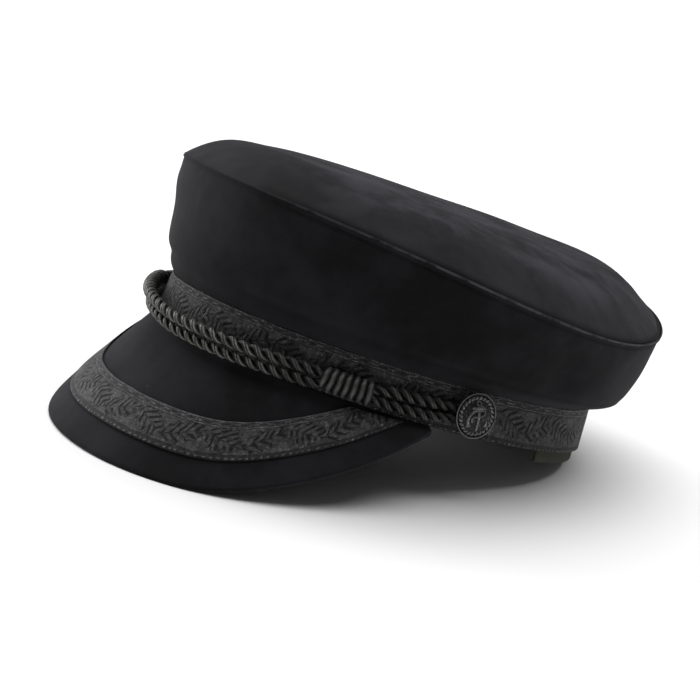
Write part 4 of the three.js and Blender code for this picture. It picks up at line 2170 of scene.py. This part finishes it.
class Softbox(NamedTuple):
    """A square soft lamp: its place and side in metres, and its power in watts."""

    name: str
    place: Triple
    side: float
    power: float


@dataclass
class Studio:
    """A pale floor, soft lamps and the camera. Places are in metres, in the room."""

    floor_side: float = 24.0
    floor_colour: Colour = (0.86, 0.86, 0.86)
    eye: Triple = (0.77087, -0.61139, 0.29156)
    azimuth: float = 51.9155
    elevation: float = 14.5399
    roll: float = 10.0467
    lens: float = 122.981
    sensor: float = 36.0
    nearest: float = 0.01
    aim: Triple = (0, 0, 0.06)
    sky: float = 3.6
    sky_angle: float = 75.0
    sky_lean: Pair = (-12.0, -8.0)
    softboxes: tuple[Softbox, ...] = (
        Softbox("left_softbox", (-1.57, -0.63, 0.56), 0.9, 17),
        Softbox("back_softbox", (1.0, 1.15, 0.7), 0.8, 0.5),
    )
    world: float = 0.10

    @staticmethod
    def hang(name: str, data: bpy.types.ID) -> Body:
        """Puts a lamp or a camera in the room.

        Args:
            name: its name.
            data: the lamp or the camera.

        Returns:
            The object.
        """
        made = bpy.data.objects.new(name, data)
        bpy.context.scene.collection.objects.link(made)
        return made

    def lay_floor(self) -> None:
        """Lays a matt floor."""
        Bench.clear()
        bpy.ops.mesh.primitive_plane_add(size=self.floor_side)
        floor = Bench.named("studio_floor")
        colour = (*self.floor_colour, 1)
        finish = Recipe("pale_floor").surface(base_color=colour, roughness=0.9, specular_ior_level=0.1)
        floor.data.materials.append(finish)

    def hang_softbox(self, box: Softbox) -> None:
        """Hangs a soft lamp that faces the hat.

        Args:
            box: the lamp.
        """
        lamp = bpy.data.lights.new(box.name, "AREA")
        lamp.shape = "SQUARE"
        lamp.size = box.side
        lamp.energy = box.power
        hung = self.hang(box.name, lamp)
        hung.location = box.place
        hung.rotation_euler = (Vector(self.aim) - Vector(box.place)).to_track_quat("-Z", "Y").to_euler()

    def light(self) -> None:
        """Sets up a wide soft sky lamp, the softboxes and a dim surrounding."""
        sun = bpy.data.lights.new("sky_lamp", "SUN")
        sun.energy = self.sky
        sun.angle = math.radians(self.sky_angle)
        self.hang("sky_lamp", sun).rotation_euler = (*(math.radians(lean) for lean in self.sky_lean), 0)
        for box in self.softboxes:
            self.hang_softbox(box)
        world = bpy.data.worlds.new("studio")
        world.use_nodes = True
        world.node_tree.nodes["Background"].inputs["Color"].default_value = (1, 1, 1, 1)
        world.node_tree.nodes["Background"].inputs["Strength"].default_value = self.world
        bpy.context.scene.world = world
        bpy.context.scene.view_settings.view_transform = "Standard"

    def camera(self) -> None:
        """Stands the camera at its place, turned a little on its own axis."""
        data = bpy.data.cameras.new("camera")
        data.lens = self.lens
        data.sensor_width = self.sensor
        data.clip_start = self.nearest
        made = self.hang("camera", data)
        azimuth, elevation, roll = (math.radians(v) for v in (self.azimuth, self.elevation, self.roll))
        turn = Matrix.Rotation(azimuth, 4, "Z") @ Matrix.Rotation(math.pi / 2 - elevation, 4, "X")
        made.matrix_world = Matrix.Translation(self.eye) @ turn @ Matrix.Rotation(roll, 4, "Z")
        bpy.context.scene.camera = made


def main() -> None:
    """Builds the studio and the hat, piece by piece."""
    logging.basicConfig(level=logging.INFO, format="%(message)s")
    studio = Studio()
    studio.camera()
    studio.light()
    studio.lay_floor()
    cloth = ClothFinish().material()
    top_cloth = TopFinish().material()
    wall_cloth = WallFinish().material()
    band_braid = BraidFinish("band_braid", OVAL.height).material()
    visor_braid = BraidFinish("visor_braid", VisorRibbon.width).material()
    cord = CordFinish("twisted_gimp", TwinCord.crest_radius).material()
    whipping = WhippingFinish("whipping_gimp", WhippingKnot.cord_radius).material()
    field = MetalFinish("button_field", Wear.FIELD).material()
    raised = MetalFinish("button_relief", Wear.RAISED).material()
    TwinCord().build(cord)
    for side in Side:
        WhippingKnot(side).build(whipping)
    CrownSide().build(wall_cloth)
    CrownTop().build(top_cloth)
    HeadBand().build(band_braid, cloth)
    Visor().build(cloth)
    VisorRibbon().build(visor_braid)
    RearStrip().build(WebbingFinish().material())
    for side in Side:
        Button(side).build(field, raised)


if __name__ == "__main__":
    main()
